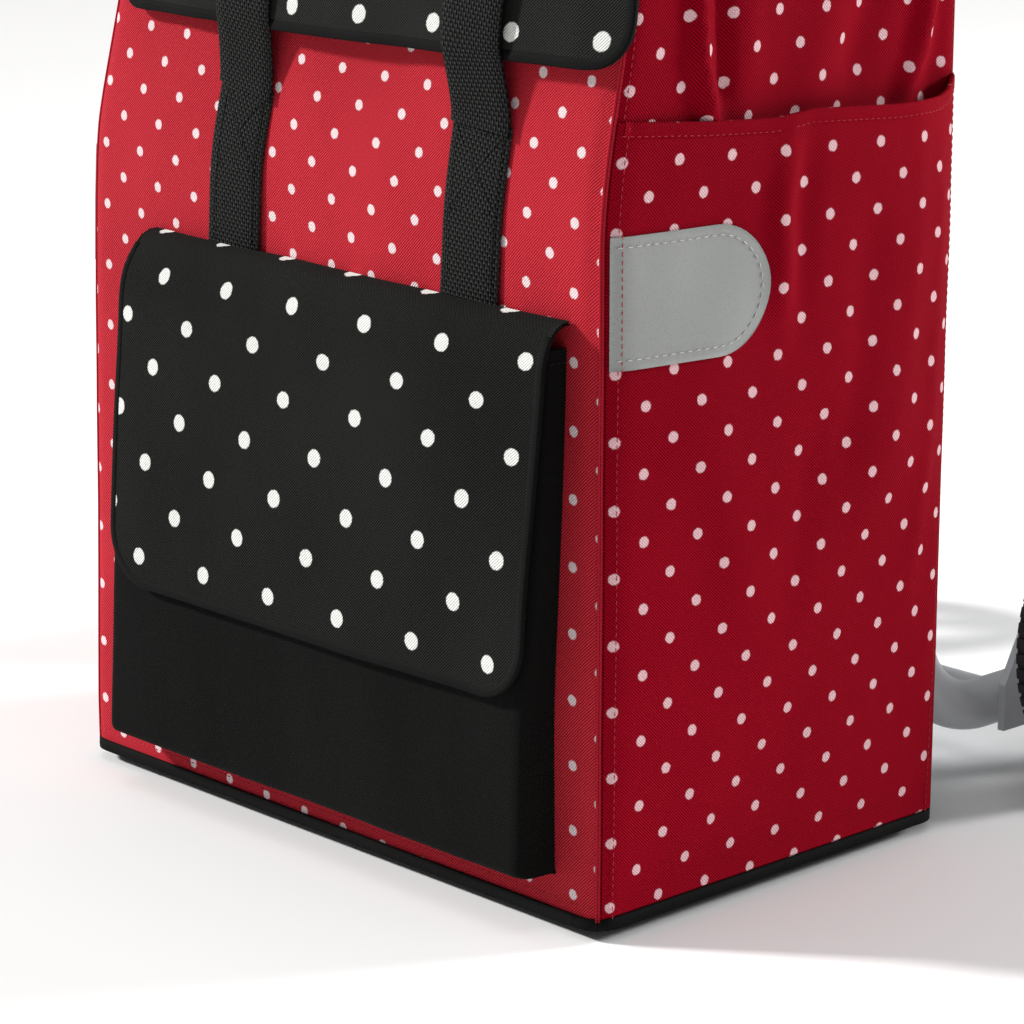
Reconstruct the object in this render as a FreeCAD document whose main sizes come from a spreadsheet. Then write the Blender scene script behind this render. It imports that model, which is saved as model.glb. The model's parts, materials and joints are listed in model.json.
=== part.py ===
import FreeCAD, Part
import Sketcher
import math
import os

# Shopping trolley: a fabric bag with a lid, a front pocket and a side pocket, hung on a two-wheeled
# tube frame with a telescopic pull handle. Millimetres, +Z up, the bag's front faces -Y.
# The origin is on the floor, at the middle of the whole trolley's footprint.

doc = FreeCAD.newDocument("shopping_trolley")
Vector = FreeCAD.Vector

# Driving sizes. Names that start alike belong to one piece or to pieces that fit each other.
DRIVING = {
    # bag: outer width, depth, height of its upper rim above the floor, thickness of its walls
    "bag_wide": 370, "bag_deep": 230, "bag_top": 545, "cloth": 3,
    "board_inset": 5, "board_thick": 3,
    "binding_out": 2, "binding_tall": 5, "piping_out": 1.5, "rim_tall": 3,
    # front pocket: a box that is deeper at its foot, and set off the bag's middle
    "pocket_left_margin": 41, "pocket_right_margin": 27, "pocket_low": 27, "pocket_high": 280,
    "pocket_foot_deep": 22, "pocket_mouth_deep": 12, "pocket_wall": 2,
    # flap over the front pocket: short of the pocket's left edge, past its right one and its top
    "flap_left_short": 13, "flap_right_past": 3, "flap_low": 110.6, "flap_rise": 5, "flap_thick": 2,
    "flap_round": 28, "flap_gap": 1.6, "flap_back_gap": 1,
    "flap_tape_thick": 0.6, "flap_tape_wide": 5, "flap_tape_inset": 30,
    "touch_tape_thick": 0.7, "touch_tape_left": 40, "touch_tape_right": 70,
    "touch_tape_low": 128, "touch_tape_high": 153,
    # side pocket on the right wall
    "side_gap": 6, "side_wall": 1.5, "side_low": 12, "side_high": 362,
    # reflector tabs on both sides
    "reflector_long": 86, "reflector_low": 260, "reflector_high": 318, "reflector_thick": 0.8,
    # webbing: two sewn straps on the front wall, and the free loop that they turn into
    "strap_wide": 38, "strap_thick": 2.5, "strap_flap_gap": 3, "strap_free": 32,
    "strap_left_low": -60, "strap_left_high": -47, "strap_right_low": 107, "strap_right_high": 114,
    "loop_gap": 1, "loop_step": 4, "loop_leg": 128, "loop_out": 6.5, "loop_wide": 20,
    # lid: top sheet and front drop
    "lid_overhang": 2, "lid_thick": 3, "lid_drop": 156.3, "lid_round": 25, "lid_rest_gap": 0.3,
    "lid_front_gap": 2, "lid_tape_thick": 0.8, "lid_tape_tall": 6,
    # side tubes of the frame
    "tube_radius": 12.5, "tube_wall": 1.5, "tube_apart": 280, "tube_behind_bag": 25,
    "tube_top": 570, "tube_bend": 60, "tube_foot_z": 35, "tube_foot_back": 95, "cap_thick": 2.5,
    "bar_radius": 8, "upper_bar_z": 500, "rear_bar_back": 75,
    # lower plates, bolts and feet
    "foot_radius": 12.5, "foot_tall": 2.5, "foot_side": 95, "foot_front_in": 20, "foot_rear_in": 26,
    "toe_wide": 250, "toe_thick": 2.5, "toe_reach": 80, "toe_flange_top": 130,
    "cross_past": 20, "cross_thick": 4, "cross_low": 95,
    "bolt_radius": 3, "bolt_head_radius": 5.5, "bolt_head_tall": 3, "bolt_nut_tall": 4.5,
    "bolt_side": 100, "bolt_low_z": 104.5, "bolt_high_z": 120.5,
    # wheels and axles
    "wheel_radius": 80, "spacer_long": 29.7, "axle_behind_bag": 131,
    "tyre_wide": 30, "tyre_inner": 66, "tyre_round": 6, "rim_wide": 24, "rim_thick": 6, "web_thick": 6,
    "hub_radius": 20, "hub_long": 30, "bush_radius": 10, "bush_long": 31,
    "window_low": 26, "window_high": 52, "window_low_wide": 12, "window_high_wide": 42,
    "spokes": 5,
    "axle_radius": 6, "axle_head_radius": 9, "axle_head_thick": 4, "axle_past_bush": 3.5,
    "retainer_radius": 10, "retainer_thick": 2, "cap_disc_thick": 2, "cap_wall": 3, "cap_clear": 0.5,
    "bracket_thick": 4, "bracket_margin": 18,
    # bag hooks on the upper bar
    "hook_wide": 30, "hook_side": 70, "hook_below": 28, "hook_wall": 4, "hook_clear": 0.4,
    # pull handle: what its legs keep below the clamps and above the bends when it is pushed down
    "grip_tube_radius": 9, "grip_tube_wall": 1.5, "handle_travel": 250, "leg_above_bend": 55,
    "lean_above_collar": 34, "lean_long": 140, "lean_degrees": 40, "lean_bend": 60, "corner_bend": 40,
    "grip_long": 130, "grip_radius": 15, "plug_tall": 14, "plug_lip": 4,
    # guide bush, clamp collar and clamp lever at the top of each side tube
    "bush_depth": 40, "bush_flange": 2, "collar_radius": 16.5, "collar_below": 14, "collar_above": 26,
    "collar_clear": 0.3, "pin_back": 24, "pin_above": 14, "pin_radius": 2, "ear_gap": 4.2,
    "ear_thick": 4, "ear_half": 8, "lever_half": 3.9, "lever_hub_radius": 6.5,
    "lever_blade_half": 7, "lever_blade_thick": 4, "lever_blade_clear": 2,
    "lever_blade_top": 12, "lever_reach": 40,
    # clearances
    "press_clear": 0.05, "run_clear": 0.06, "guide_clear": 0.08, "end_clear": 0.3,
}

sheet = doc.addObject("Spreadsheet::Sheet", "dims")
for row, (name, number) in enumerate(DRIVING.items(), start=1):
    sheet.set(f"A{row}", name)
    sheet.set(f"B{row}", str(number))
    sheet.setAlias(f"B{row}", name)
doc.recompute()


# A size keeps its spreadsheet expression beside its number, so one sum serves both uses.
class Size:
    def __init__(self, text, number):
        self.text = text
        self.number = number

    def __add__(self, other):
        return combine(self, "+", other)

    def __radd__(self, other):
        return combine(other, "+", self)

    def __sub__(self, other):
        return combine(self, "-", other)

    def __rsub__(self, other):
        return combine(other, "-", self)

    def __mul__(self, other):
        return combine(self, "*", other)

    def __rmul__(self, other):
        return combine(other, "*", self)

    def __truediv__(self, other):
        return combine(self, "/", other)

    def __neg__(self):
        return combine(0, "-", self)

    def __float__(self):
        return float(self.number)


def as_size(value):
    return value if isinstance(value, Size) else Size(repr(value), float(value))


def combine(first, sign, second):
    first, second = as_size(first), as_size(second)
    sums = {"+": first.number + second.number, "-": first.number - second.number,
            "*": first.number * second.number, "/": first.number / (second.number or 1)}
    return Size(f"({first.text} {sign} {second.text})", sums[sign])


class Sizes:
    pass


dims = Sizes()
for name in DRIVING:
    setattr(dims, name, Size(f"dims.{name}", float(sheet.get(name))))

# Places that several pieces share.
pocket_slope = (dims.pocket_foot_deep - dims.pocket_mouth_deep) / (dims.pocket_high - dims.pocket_low)
loop_front = dims.bag_deep / 2 + dims.loop_out + dims.loop_wide
bag_y = (loop_front - dims.bag_deep / 2 - dims.axle_behind_bag - dims.wheel_radius) / 2
front_y = bag_y - dims.bag_deep / 2
rear_y = bag_y + dims.bag_deep / 2
tube_y = rear_y + dims.tube_behind_bag
tube_x = dims.tube_apart / 2
axle_y = rear_y + dims.axle_behind_bag
floor_z = dims.foot_tall + dims.toe_thick
half_wide = dims.bag_wide / 2
wall_low = floor_z + dims.cloth
piping_low = floor_z + dims.binding_tall
lid_z = dims.bag_top + dims.rim_tall + dims.lid_rest_gap
cross_back_y = tube_y - dims.tube_radius
cross_front_y = cross_back_y - dims.cross_thick
flange_y = cross_front_y - dims.toe_thick
side_front_x = half_wide + dims.side_gap
wheel_x = (tube_x + dims.tube_radius + dims.bracket_thick + dims.spacer_long + dims.end_clear
           + dims.bush_long / 2)
leg_low = dims.tube_foot_z + dims.tube_bend + dims.handle_travel + dims.leg_above_bend
leg_top = dims.tube_top + dims.collar_above + dims.handle_travel + dims.lean_above_collar
pocket_left = half_wide - dims.pocket_left_margin
pocket_right = half_wide - dims.pocket_right_margin
flap_left = pocket_left - dims.flap_left_short
flap_right = pocket_right + dims.flap_right_past
flap_top = dims.pocket_high + dims.flap_rise
lid_low = lid_z - dims.lid_drop
strap_low = flap_top + dims.strap_flap_gap
strap_sewn_top = lid_low - dims.strap_free

nodes = {}


def bind(item, bindings):
    for name, value in bindings.items():
        item.setExpression(name, as_size(value).text)


def keep(label, item):
    item.Label = label
    nodes[label] = item
    return item


# ---- Part primitives and booleans ------------------------------------------------------------

TURNS = {"x": FreeCAD.Rotation(Vector(0, 1, 0), 90), "y": FreeCAD.Rotation(Vector(1, 0, 0), -90),
         "z": FreeCAD.Rotation()}


def block(name, x, y, z):
    item = doc.addObject("Part::Box", name)
    bind(item, {"Length": x[1] - x[0], "Width": y[1] - y[0], "Height": z[1] - z[0],
                "Placement.Base.x": x[0], "Placement.Base.y": y[0], "Placement.Base.z": z[0]})
    return item


# A cylinder that starts at a point and runs along one axis.
def rod(name, axis, start, length, radius):
    item = doc.addObject("Part::Cylinder", name)
    item.Placement.Rotation = TURNS[axis]
    bind(item, {"Radius": radius, "Height": length, "Placement.Base.x": start[0],
                "Placement.Base.y": start[1], "Placement.Base.z": start[2]})
    return item


def fuse(name, items):
    item = doc.addObject("Part::MultiFuse", name)
    item.Shapes = items
    return item


def cut(name, base, tools):
    item = doc.addObject("Part::Cut", name)
    item.Base = base
    item.Tool = tools[0] if len(tools) == 1 else fuse(name + "_tools", tools)
    return item


def group(name, items):
    item = doc.addObject("Part::Compound", name)
    item.Links = items
    return item


def ring(name, axis, start, length, outer, inner):
    return cut(name, rod(name + "_outer", axis, start, length, outer),
               [rod(name + "_inner", axis, start, length, inner)])


# A rectangular band around the bag: the outer box less the inner one.
def band(name, outer_x, outer_y, inner_x, inner_y, z):
    outer = block(name + "_outer", (-outer_x, outer_x), (bag_y - outer_y, bag_y + outer_y), z)
    inner = block(name + "_inner", (-inner_x, inner_x), (bag_y - inner_y, bag_y + inner_y), z)
    return cut(name, outer, [inner])


# ---- PartDesign bodies -----------------------------------------------------------------------

def new_body(label):
    body = doc.addObject("PartDesign::Body", label)
    return keep(label, body)


def sketch_on(body, name, plane, offset):
    sketch = body.newObject("Sketcher::SketchObject", name)
    support = [item for item in body.Origin.OriginFeatures if item.Role == plane][0]
    sketch.AttachmentSupport = [(support, "")]
    sketch.MapMode = "FlatFace"
    bind(sketch, {"AttachmentOffset.Base.z": offset})
    return sketch


def hold(sketch, kind, geometry, point, value):
    index = sketch.addConstraint(Sketcher.Constraint(kind, -1, 1, geometry, point, float(value)))
    bind(sketch, {f"Constraints[{index}]": value})


# A closed outline whose every corner is held by two dimensions from the sketch's origin.
def outline(sketch, corners):
    places = [Vector(float(first), float(second), 0) for first, second in corners]
    lines = [sketch.addGeometry(Part.LineSegment(place, places[(i + 1) % len(places)]), False)
             for i, place in enumerate(places)]
    for i, line in enumerate(lines):
        following = lines[(i + 1) % len(lines)]
        sketch.addConstraint(Sketcher.Constraint("Coincident", line, 2, following, 1))
    for line, (first, second) in zip(lines, corners):
        hold(sketch, "DistanceX", line, 1, first)
        hold(sketch, "DistanceY", line, 1, second)


def circle(sketch, first, second, radius):
    shape = Part.Circle(Vector(float(first), float(second), 0), Vector(0, 0, 1), float(radius))
    index = sketch.addGeometry(shape, False)
    hold(sketch, "DistanceX", index, 3, first)
    hold(sketch, "DistanceY", index, 3, second)
    size = sketch.addConstraint(Sketcher.Constraint("Radius", index, float(radius)))
    bind(sketch, {f"Constraints[{size}]": radius})


def pad(body, sketch, length):
    feature = body.newObject("PartDesign::Pad", body.Name + "_pad")
    feature.Profile = sketch
    bind(feature, {"Length": length})
    return feature


# A pocket that cuts both ways from its sketch, so it can't point away from the solid.
def pocket(body, sketch, length):
    feature = body.newObject("PartDesign::Pocket", body.Name + "_pocket")
    feature.Profile = sketch
    feature.SideType = "Symmetric"
    bind(feature, {"Length": length})
    return feature


def fillet(body, base, edges, radius):
    doc.recompute()
    feature = body.newObject("PartDesign::Fillet", body.Name + "_fillet")
    feature.Base = (base, edges)
    bind(feature, {"Radius": radius})
    return feature


# Edges that run along Y through a given height, at the two ends of a sheet.
def edges_along_y(feature, height):
    doc.recompute()
    found = []
    for index, edge in enumerate(feature.Shape.Edges, start=1):
        first, last = edge.Vertexes[0].Point, edge.Vertexes[-1].Point
        level = abs(first.z - float(height)) < 0.01 and abs(last.z - float(height)) < 0.01
        if level and abs(first.x - last.x) < 0.01 and abs(first.y - last.y) > 0.1:
            found.append(f"Edge{index}")
    return found


# A prism along X: its outline is given as (y, z) corners.
def prism_x(label, x, corners):
    body = new_body(label)
    pad(body, sketch_on(body, label + "_outline", "YZ_Plane", x[0]), x[1] - x[0])
    outline(body.Group[0], corners)
    return body


# A sheet on the bag's front or rear: its outline is given as (x, z) corners.
def sheet_y(label, y, corners):
    body = new_body(label)
    pad(body, sketch_on(body, label + "_outline", "XZ_Plane", -y[1]), y[1] - y[0])
    outline(body.Group[0], corners)
    return body


def rectangle(first, second):
    return [(first[0], second[0]), (first[1], second[0]), (first[1], second[1]), (first[0], second[1])]


# A body turned about the X axis through its own origin: its outline is given as (x, radius) corners.
def turned(label, corners):
    body = new_body(label)
    sketch = sketch_on(body, label + "_outline", "XZ_Plane", 0)
    outline(sketch, corners)
    feature = body.newObject("PartDesign::Revolution", label + "_turn")
    feature.Profile = sketch
    feature.ReferenceAxis = (sketch, ["H_Axis"])
    feature.Angle = 360
    return body


# ---- Tubes with bends out of one plane ---------------------------------------------------------

# Straight runs joined by tangent arcs, one radius for each inner corner.
def bent_path(corners, bends):
    edges = []
    start = corners[0]
    for before, corner, after, bend in zip(corners, corners[1:], corners[2:], bends):
        inward = (before - corner).normalize()
        outward = (after - corner).normalize()
        half_turn = (math.pi - inward.getAngle(outward)) / 2
        reach = bend * math.tan(half_turn)
        middle = (inward + outward).normalize() * (bend / math.cos(half_turn) - bend)
        arc_start, arc_end = corner + inward * reach, corner + outward * reach
        edges.append(Part.LineSegment(start, arc_start).toShape())
        edges.append(Part.Arc(arc_start, corner + middle, arc_end).toShape())
        start = arc_end
    edges.append(Part.LineSegment(start, corners[-1]).toShape())
    return Part.Wire(edges)


def swept_round(path, start, direction, radius):
    profile = Part.Wire(Part.makeCircle(radius, start, direction))
    return path.makePipeShell([profile], True, False)


def bent_tube(label, corners, bends, outer, wall):
    points = [Vector(*(float(value) for value in corner)) for corner in corners]
    path = bent_path(points, [float(bend) for bend in bends])
    direction = points[1] - points[0]
    solid = swept_round(path, points[0], direction, float(outer))
    hollow = swept_round(path, points[0], direction, float(outer - wall))
    item = doc.addObject("Part::Feature", label)
    item.Shape = solid.cut(hollow)
    return keep(label, item)


# ---- Frame -------------------------------------------------------------------------------------

def side_name(side):
    return "left" if side < 0 else "right"


def make_side_tubes():
    foot_y = tube_y + dims.tube_foot_back
    for side in (-1, 1):
        corners = [(side * tube_x, tube_y, dims.tube_top), (side * tube_x, tube_y, dims.tube_foot_z),
                   (side * tube_x, foot_y, dims.tube_foot_z)]
        bent_tube(f"side_tube_{side_name(side)}", corners, [dims.tube_bend], dims.tube_radius,
                  dims.tube_wall)
    caps = [rod(f"end_cap_{side_name(side)}", "y", (side * tube_x, foot_y, dims.tube_foot_z),
                dims.cap_thick, dims.tube_radius) for side in (-1, 1)]
    keep("tube_end_caps", group("tube_end_caps", caps))


# A round bar between the side tubes, its ends shaped to sit against them.
def cross_bar(label, y, z, tube_axis, tube_start, tube_long):
    bar = rod(label + "_bar", "x", (-tube_x, y, z), tube_x * 2, dims.bar_radius)
    tools = [rod(f"{label}_seat_{side_name(side)}", tube_axis, (side * tube_x, *tube_start), tube_long,
                 dims.tube_radius) for side in (-1, 1)]
    keep(label, cut(label, bar, tools))


def make_cross_bars():
    seat = dims.tube_radius * 4
    cross_bar("upper_cross_bar", tube_y, dims.upper_bar_z, "z",
              (tube_y, dims.upper_bar_z - seat / 2), seat)
    rear_y_place = tube_y + dims.rear_bar_back
    cross_bar("rear_cross_bar", rear_y_place, dims.tube_foot_z, "y",
              (rear_y_place - seat / 2, dims.tube_foot_z), seat)


def bolt_places():
    return [(side * dims.bolt_side, z) for side in (-1, 1) for z in (dims.bolt_low_z, dims.bolt_high_z)]


def drill_for_bolts(body, y):
    sketch = sketch_on(body, body.Name + "_holes", "XZ_Plane", -y)
    for x, z in bolt_places():
        circle(sketch, x, z, dims.bolt_radius + dims.press_clear)
    pocket(body, sketch, (dims.toe_thick + dims.cross_thick) * 4)


def make_lower_plates():
    half = dims.toe_wide / 2
    toe_front = bag_y - dims.toe_reach
    toe = prism_x("toe_plate", (-half, half), [
        (toe_front, dims.foot_tall), (cross_front_y, dims.foot_tall),
        (cross_front_y, dims.toe_flange_top), (flange_y, dims.toe_flange_top),
        (flange_y, floor_z), (toe_front, floor_z)])
    drill_for_bolts(toe, flange_y)
    cross_half = tube_x + dims.cross_past
    cross = sheet_y("lower_cross_plate", (cross_front_y, cross_back_y), rectangle(
        (-cross_half, cross_half), (dims.cross_low, dims.toe_flange_top)))
    drill_for_bolts(cross, cross_front_y)
    bolts = []
    for number, (x, z) in enumerate(bolt_places(), start=1):
        head = rod(f"bolt_head_{number}", "y", (x, flange_y - dims.bolt_head_tall, z),
                   dims.bolt_head_tall, dims.bolt_head_radius)
        shank = rod(f"bolt_shank_{number}", "y", (x, flange_y, z),
                    dims.toe_thick + dims.cross_thick, dims.bolt_radius)
        nut = rod(f"bolt_nut_{number}", "y", (x, cross_back_y, z), dims.bolt_nut_tall,
                  dims.bolt_head_radius)
        bolts.append(fuse(f"bolt_{number}", [head, shank, nut]))
    keep("toe_plate_bolts", group("toe_plate_bolts", bolts))
    foot_rows = (toe_front + dims.foot_front_in, flange_y - dims.foot_rear_in)
    feet = [rod(f"foot_{side_name(side)}_{number}", "z", (side * dims.foot_side, y, 0),
                dims.foot_tall, dims.foot_radius)
            for side in (-1, 1) for number, y in enumerate(foot_rows, start=1)]
    keep("rubber_feet", group("rubber_feet", feet))


def bracket_outline():
    margin = dims.bracket_margin
    back = axle_y + margin
    low = dims.tube_foot_z - dims.tube_radius + 1
    return [(tube_y + dims.tube_bend, low), (axle_y, low), (back, dims.wheel_radius - margin),
            (back, dims.wheel_radius + margin), (axle_y - margin, dims.wheel_radius + margin),
            (tube_y + dims.tube_bend, dims.tube_foot_z + dims.tube_radius)]


def make_axles():
    bracket_in = tube_x + dims.tube_radius
    bracket_out = bracket_in + dims.bracket_thick
    bush_in = wheel_x - dims.bush_long / 2
    bush_out = wheel_x + dims.bush_long / 2
    axle_end = bush_out + dims.axle_past_bush
    spacers, retainers = [], []
    for side in (-1, 1):
        name = side_name(side)

        # the stretch of X between two distances from the middle, on this side
        def span(near, far):
            return (near, far) if side > 0 else (-far, -near)

        def along(label, near, far, radius):
            x = span(near, far)
            return rod(label, "x", (x[0], axle_y, dims.wheel_radius), x[1] - x[0], radius)

        bracket = prism_x(f"axle_bracket_{name}", span(bracket_in, bracket_out), bracket_outline())
        hole = sketch_on(bracket, bracket.Name + "_hole", "YZ_Plane", side * bracket_in)
        circle(hole, axle_y, dims.wheel_radius, dims.axle_radius + dims.press_clear)
        pocket(bracket, hole, dims.bracket_thick * 4)
        head = along(f"axle_head_{name}", bracket_in - dims.axle_head_thick, bracket_in,
                     dims.axle_head_radius)
        shaft = along(f"axle_shaft_{name}", bracket_in, axle_end, dims.axle_radius)
        keep(f"stub_axle_{name}", fuse(f"stub_axle_{name}", [head, shaft]))
        spacer_x = span(bracket_out, bush_in - dims.end_clear)
        spacers.append(ring(f"spacer_{name}", "x", (spacer_x[0], axle_y, dims.wheel_radius),
                            spacer_x[1] - spacer_x[0], dims.axle_head_radius,
                            dims.axle_radius + dims.press_clear))
        retainer_in = bush_out + dims.end_clear
        retainer_x = span(retainer_in, retainer_in + dims.retainer_thick)
        retainers.append(ring(f"retainer_{name}", "x", (retainer_x[0], axle_y, dims.wheel_radius),
                              dims.retainer_thick, dims.retainer_radius,
                              dims.axle_radius + dims.press_clear))
    keep("axle_spacers", group("axle_spacers", spacers))
    keep("wheel_retainers", group("wheel_retainers", retainers))


# ---- Wheels ------------------------------------------------------------------------------------

def make_wheel(side):
    name = side_name(side)
    place = {"Placement.Base.x": side * wheel_x, "Placement.Base.y": axle_y,
             "Placement.Base.z": dims.wheel_radius}

    tyre_half, inner = dims.tyre_wide / 2, dims.tyre_inner + dims.press_clear
    shoulder = dims.wheel_radius - dims.tyre_round
    tyre = turned(f"tyre_{name}", [
        (-tyre_half, inner), (tyre_half, inner), (tyre_half, shoulder),
        (tyre_half - dims.tyre_round, dims.wheel_radius), (-tyre_half + dims.tyre_round, dims.wheel_radius),
        (-tyre_half, shoulder)])

    hub_half, rim_half, web_half = dims.hub_long / 2, dims.rim_wide / 2, dims.web_thick / 2
    rim_inner = dims.tyre_inner - dims.rim_thick
    bore = dims.bush_radius + dims.press_clear
    rim = turned(f"wheel_rim_{name}", [
        (-hub_half, bore), (hub_half, bore), (hub_half, dims.hub_radius), (web_half, dims.hub_radius),
        (web_half, rim_inner), (rim_half, rim_inner), (rim_half, dims.tyre_inner),
        (-rim_half, dims.tyre_inner), (-rim_half, rim_inner), (-web_half, rim_inner),
        (-web_half, dims.hub_radius), (-hub_half, dims.hub_radius)])
    window = sketch_on(rim, f"window_{name}", "YZ_Plane", 0)
    outline(window, [(-dims.window_low_wide / 2, dims.window_low), (dims.window_low_wide / 2, dims.window_low),
                     (dims.window_high_wide / 2, dims.window_high),
                     (-dims.window_high_wide / 2, dims.window_high)])
    opening = pocket(rim, window, dims.web_thick * 4)
    doc.recompute()
    pattern = rim.newObject("PartDesign::PolarPattern", f"windows_{name}")
    pattern.Originals = [opening]
    axis = [item for item in rim.Origin.OriginFeatures if item.Role == "X_Axis"][0]
    pattern.Axis = (axis, [""])
    pattern.Angle = 360
    bind(pattern, {"Occurrences": dims.spokes})
    rim.Tip = pattern

    for body in (tyre, rim):
        bind(body, place)
    bush_in = wheel_x - dims.bush_long / 2
    bush_x = bush_in if side > 0 else -bush_in - dims.bush_long
    keep(f"hub_bush_{name}", ring(f"hub_bush_{name}", "x", (bush_x, axle_y, dims.wheel_radius),
                                  dims.bush_long, dims.bush_radius, dims.axle_radius + dims.run_clear))

    # cap over the axle's end: a disc with a skirt that sits on the hub's face
    face = wheel_x + dims.hub_long / 2
    disc_in = wheel_x + dims.bush_long / 2 + dims.axle_past_bush + dims.cap_clear
    skirt_x = (face, disc_in) if side > 0 else (-disc_in, -face)
    whole_x = (face, disc_in + dims.cap_disc_thick)
    whole_x = whole_x if side > 0 else (-whole_x[1], -whole_x[0])
    whole = rod(f"cap_whole_{name}", "x", (whole_x[0], axle_y, dims.wheel_radius),
                whole_x[1] - whole_x[0], dims.hub_radius)
    inside = rod(f"cap_inside_{name}", "x", (skirt_x[0], axle_y, dims.wheel_radius),
                 skirt_x[1] - skirt_x[0], dims.hub_radius - dims.cap_wall)
    keep(f"hub_cap_{name}", cut(f"hub_cap_{name}", whole, [inside]))


# ---- Telescopic handle and its clamps ------------------------------------------------------------

def make_handle():
    lean = math.radians(float(dims.lean_degrees))
    top_y = tube_y + dims.lean_long * math.sin(lean)
    top_z = leg_top + dims.lean_long * math.cos(lean)
    corners = [(-tube_x, tube_y, leg_low), (-tube_x, tube_y, leg_top),
               (-tube_x, top_y, top_z), (tube_x, top_y, top_z), (tube_x, tube_y, leg_top),
               (tube_x, tube_y, leg_low)]
    bends = [dims.lean_bend, dims.corner_bend, dims.corner_bend, dims.lean_bend]
    bent_tube("handle_tube", corners, bends, dims.grip_tube_radius, dims.grip_tube_wall)
    keep("hand_grip", ring("hand_grip", "x", (-dims.grip_long / 2, top_y, top_z), dims.grip_long,
                           dims.grip_radius, dims.grip_tube_radius + dims.press_clear))
    plugs = []
    for side in (-1, 1):
        lip_z = leg_low - dims.plug_lip
        lip = rod(f"plug_lip_{side_name(side)}", "z", (side * tube_x, tube_y, lip_z), dims.plug_lip,
                  dims.tube_radius - dims.tube_wall - dims.guide_clear)
        core = rod(f"plug_core_{side_name(side)}", "z", (side * tube_x, tube_y, leg_low),
                   dims.plug_tall, dims.grip_tube_radius - dims.grip_tube_wall - dims.press_clear)
        plugs.append(fuse(f"plug_{side_name(side)}", [lip, core]))
    keep("handle_end_plugs", group("handle_end_plugs", plugs))


def make_clamp(side):
    name = side_name(side)
    x = side * tube_x
    guide_radius = dims.grip_tube_radius + dims.guide_clear
    bush_body = rod(f"bush_body_{name}", "z", (x, tube_y, dims.tube_top - dims.bush_depth),
                    dims.bush_depth, dims.tube_radius - dims.tube_wall - dims.press_clear)
    bush_flange = rod(f"bush_flange_{name}", "z", (x, tube_y, dims.tube_top), dims.bush_flange,
                      dims.tube_radius)
    bush_bore = rod(f"bush_bore_{name}", "z", (x, tube_y, dims.tube_top - dims.bush_depth),
                    dims.bush_depth + dims.bush_flange, guide_radius)
    keep(f"guide_bush_{name}", cut(f"guide_bush_{name}",
                                   fuse(f"bush_whole_{name}", [bush_body, bush_flange]), [bush_bore]))

    low, high = dims.tube_top - dims.collar_below, dims.tube_top + dims.collar_above
    pin_y, pin_z = tube_y + dims.pin_back, dims.tube_top + dims.pin_above
    barrel = rod(f"collar_barrel_{name}", "z", (x, tube_y, low), high - low, dims.collar_radius)
    ear_y = (tube_y + dims.tube_radius, pin_y + dims.ear_half)
    ears = [block(f"ear_{name}_{number}", span_x, ear_y, (pin_z - dims.ear_half, pin_z + dims.ear_half))
            for number, span_x in enumerate(
                ((x - dims.ear_gap - dims.ear_thick, x - dims.ear_gap),
                 (x + dims.ear_gap, x + dims.ear_gap + dims.ear_thick)), start=1)]
    seat = rod(f"collar_seat_{name}", "z", (x, tube_y, low),
               dims.collar_below + dims.bush_flange + dims.press_clear,
               dims.tube_radius + dims.press_clear)
    throat = rod(f"collar_throat_{name}", "z", (x, tube_y, low), high - low,
                 dims.grip_tube_radius + dims.collar_clear)
    pin_half = dims.ear_gap + dims.ear_thick
    pin_hole = rod(f"pin_hole_{name}", "x", (x - pin_half, pin_y, pin_z), pin_half * 2,
                   dims.pin_radius + dims.press_clear)
    collar = fuse(f"collar_whole_{name}", [barrel, *ears])
    keep(f"clamp_collar_{name}", cut(f"clamp_collar_{name}", collar, [seat, throat, pin_hole]))

    blade_front = tube_y + dims.collar_radius + dims.lever_blade_clear
    blade_y = (blade_front, blade_front + dims.lever_blade_thick)
    hub = rod(f"lever_hub_{name}", "x", (x - dims.lever_half, pin_y, pin_z), dims.lever_half * 2,
              dims.lever_hub_radius)
    neck = block(f"lever_neck_{name}", (x - dims.lever_half, x + dims.lever_half),
                 (blade_y[0], pin_y), (pin_z - dims.lever_blade_top - dims.lever_blade_thick, pin_z))
    blade = block(f"lever_blade_{name}", (x - dims.lever_blade_half, x + dims.lever_blade_half), blade_y,
                  (dims.tube_top - dims.lever_reach, pin_z - dims.lever_blade_top))
    pin_bore = rod(f"lever_bore_{name}", "x", (x - dims.lever_half, pin_y, pin_z),
                   dims.lever_half * 2, dims.pin_radius + dims.run_clear)
    lever = fuse(f"lever_whole_{name}", [hub, neck, blade])
    keep(f"clamp_lever_{name}", cut(f"clamp_lever_{name}", lever, [pin_bore]))
    return rod(f"clamp_pin_{name}", "x", (x - pin_half, pin_y, pin_z), pin_half * 2, dims.pin_radius)


# ---- Bag -----------------------------------------------------------------------------------------

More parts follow.
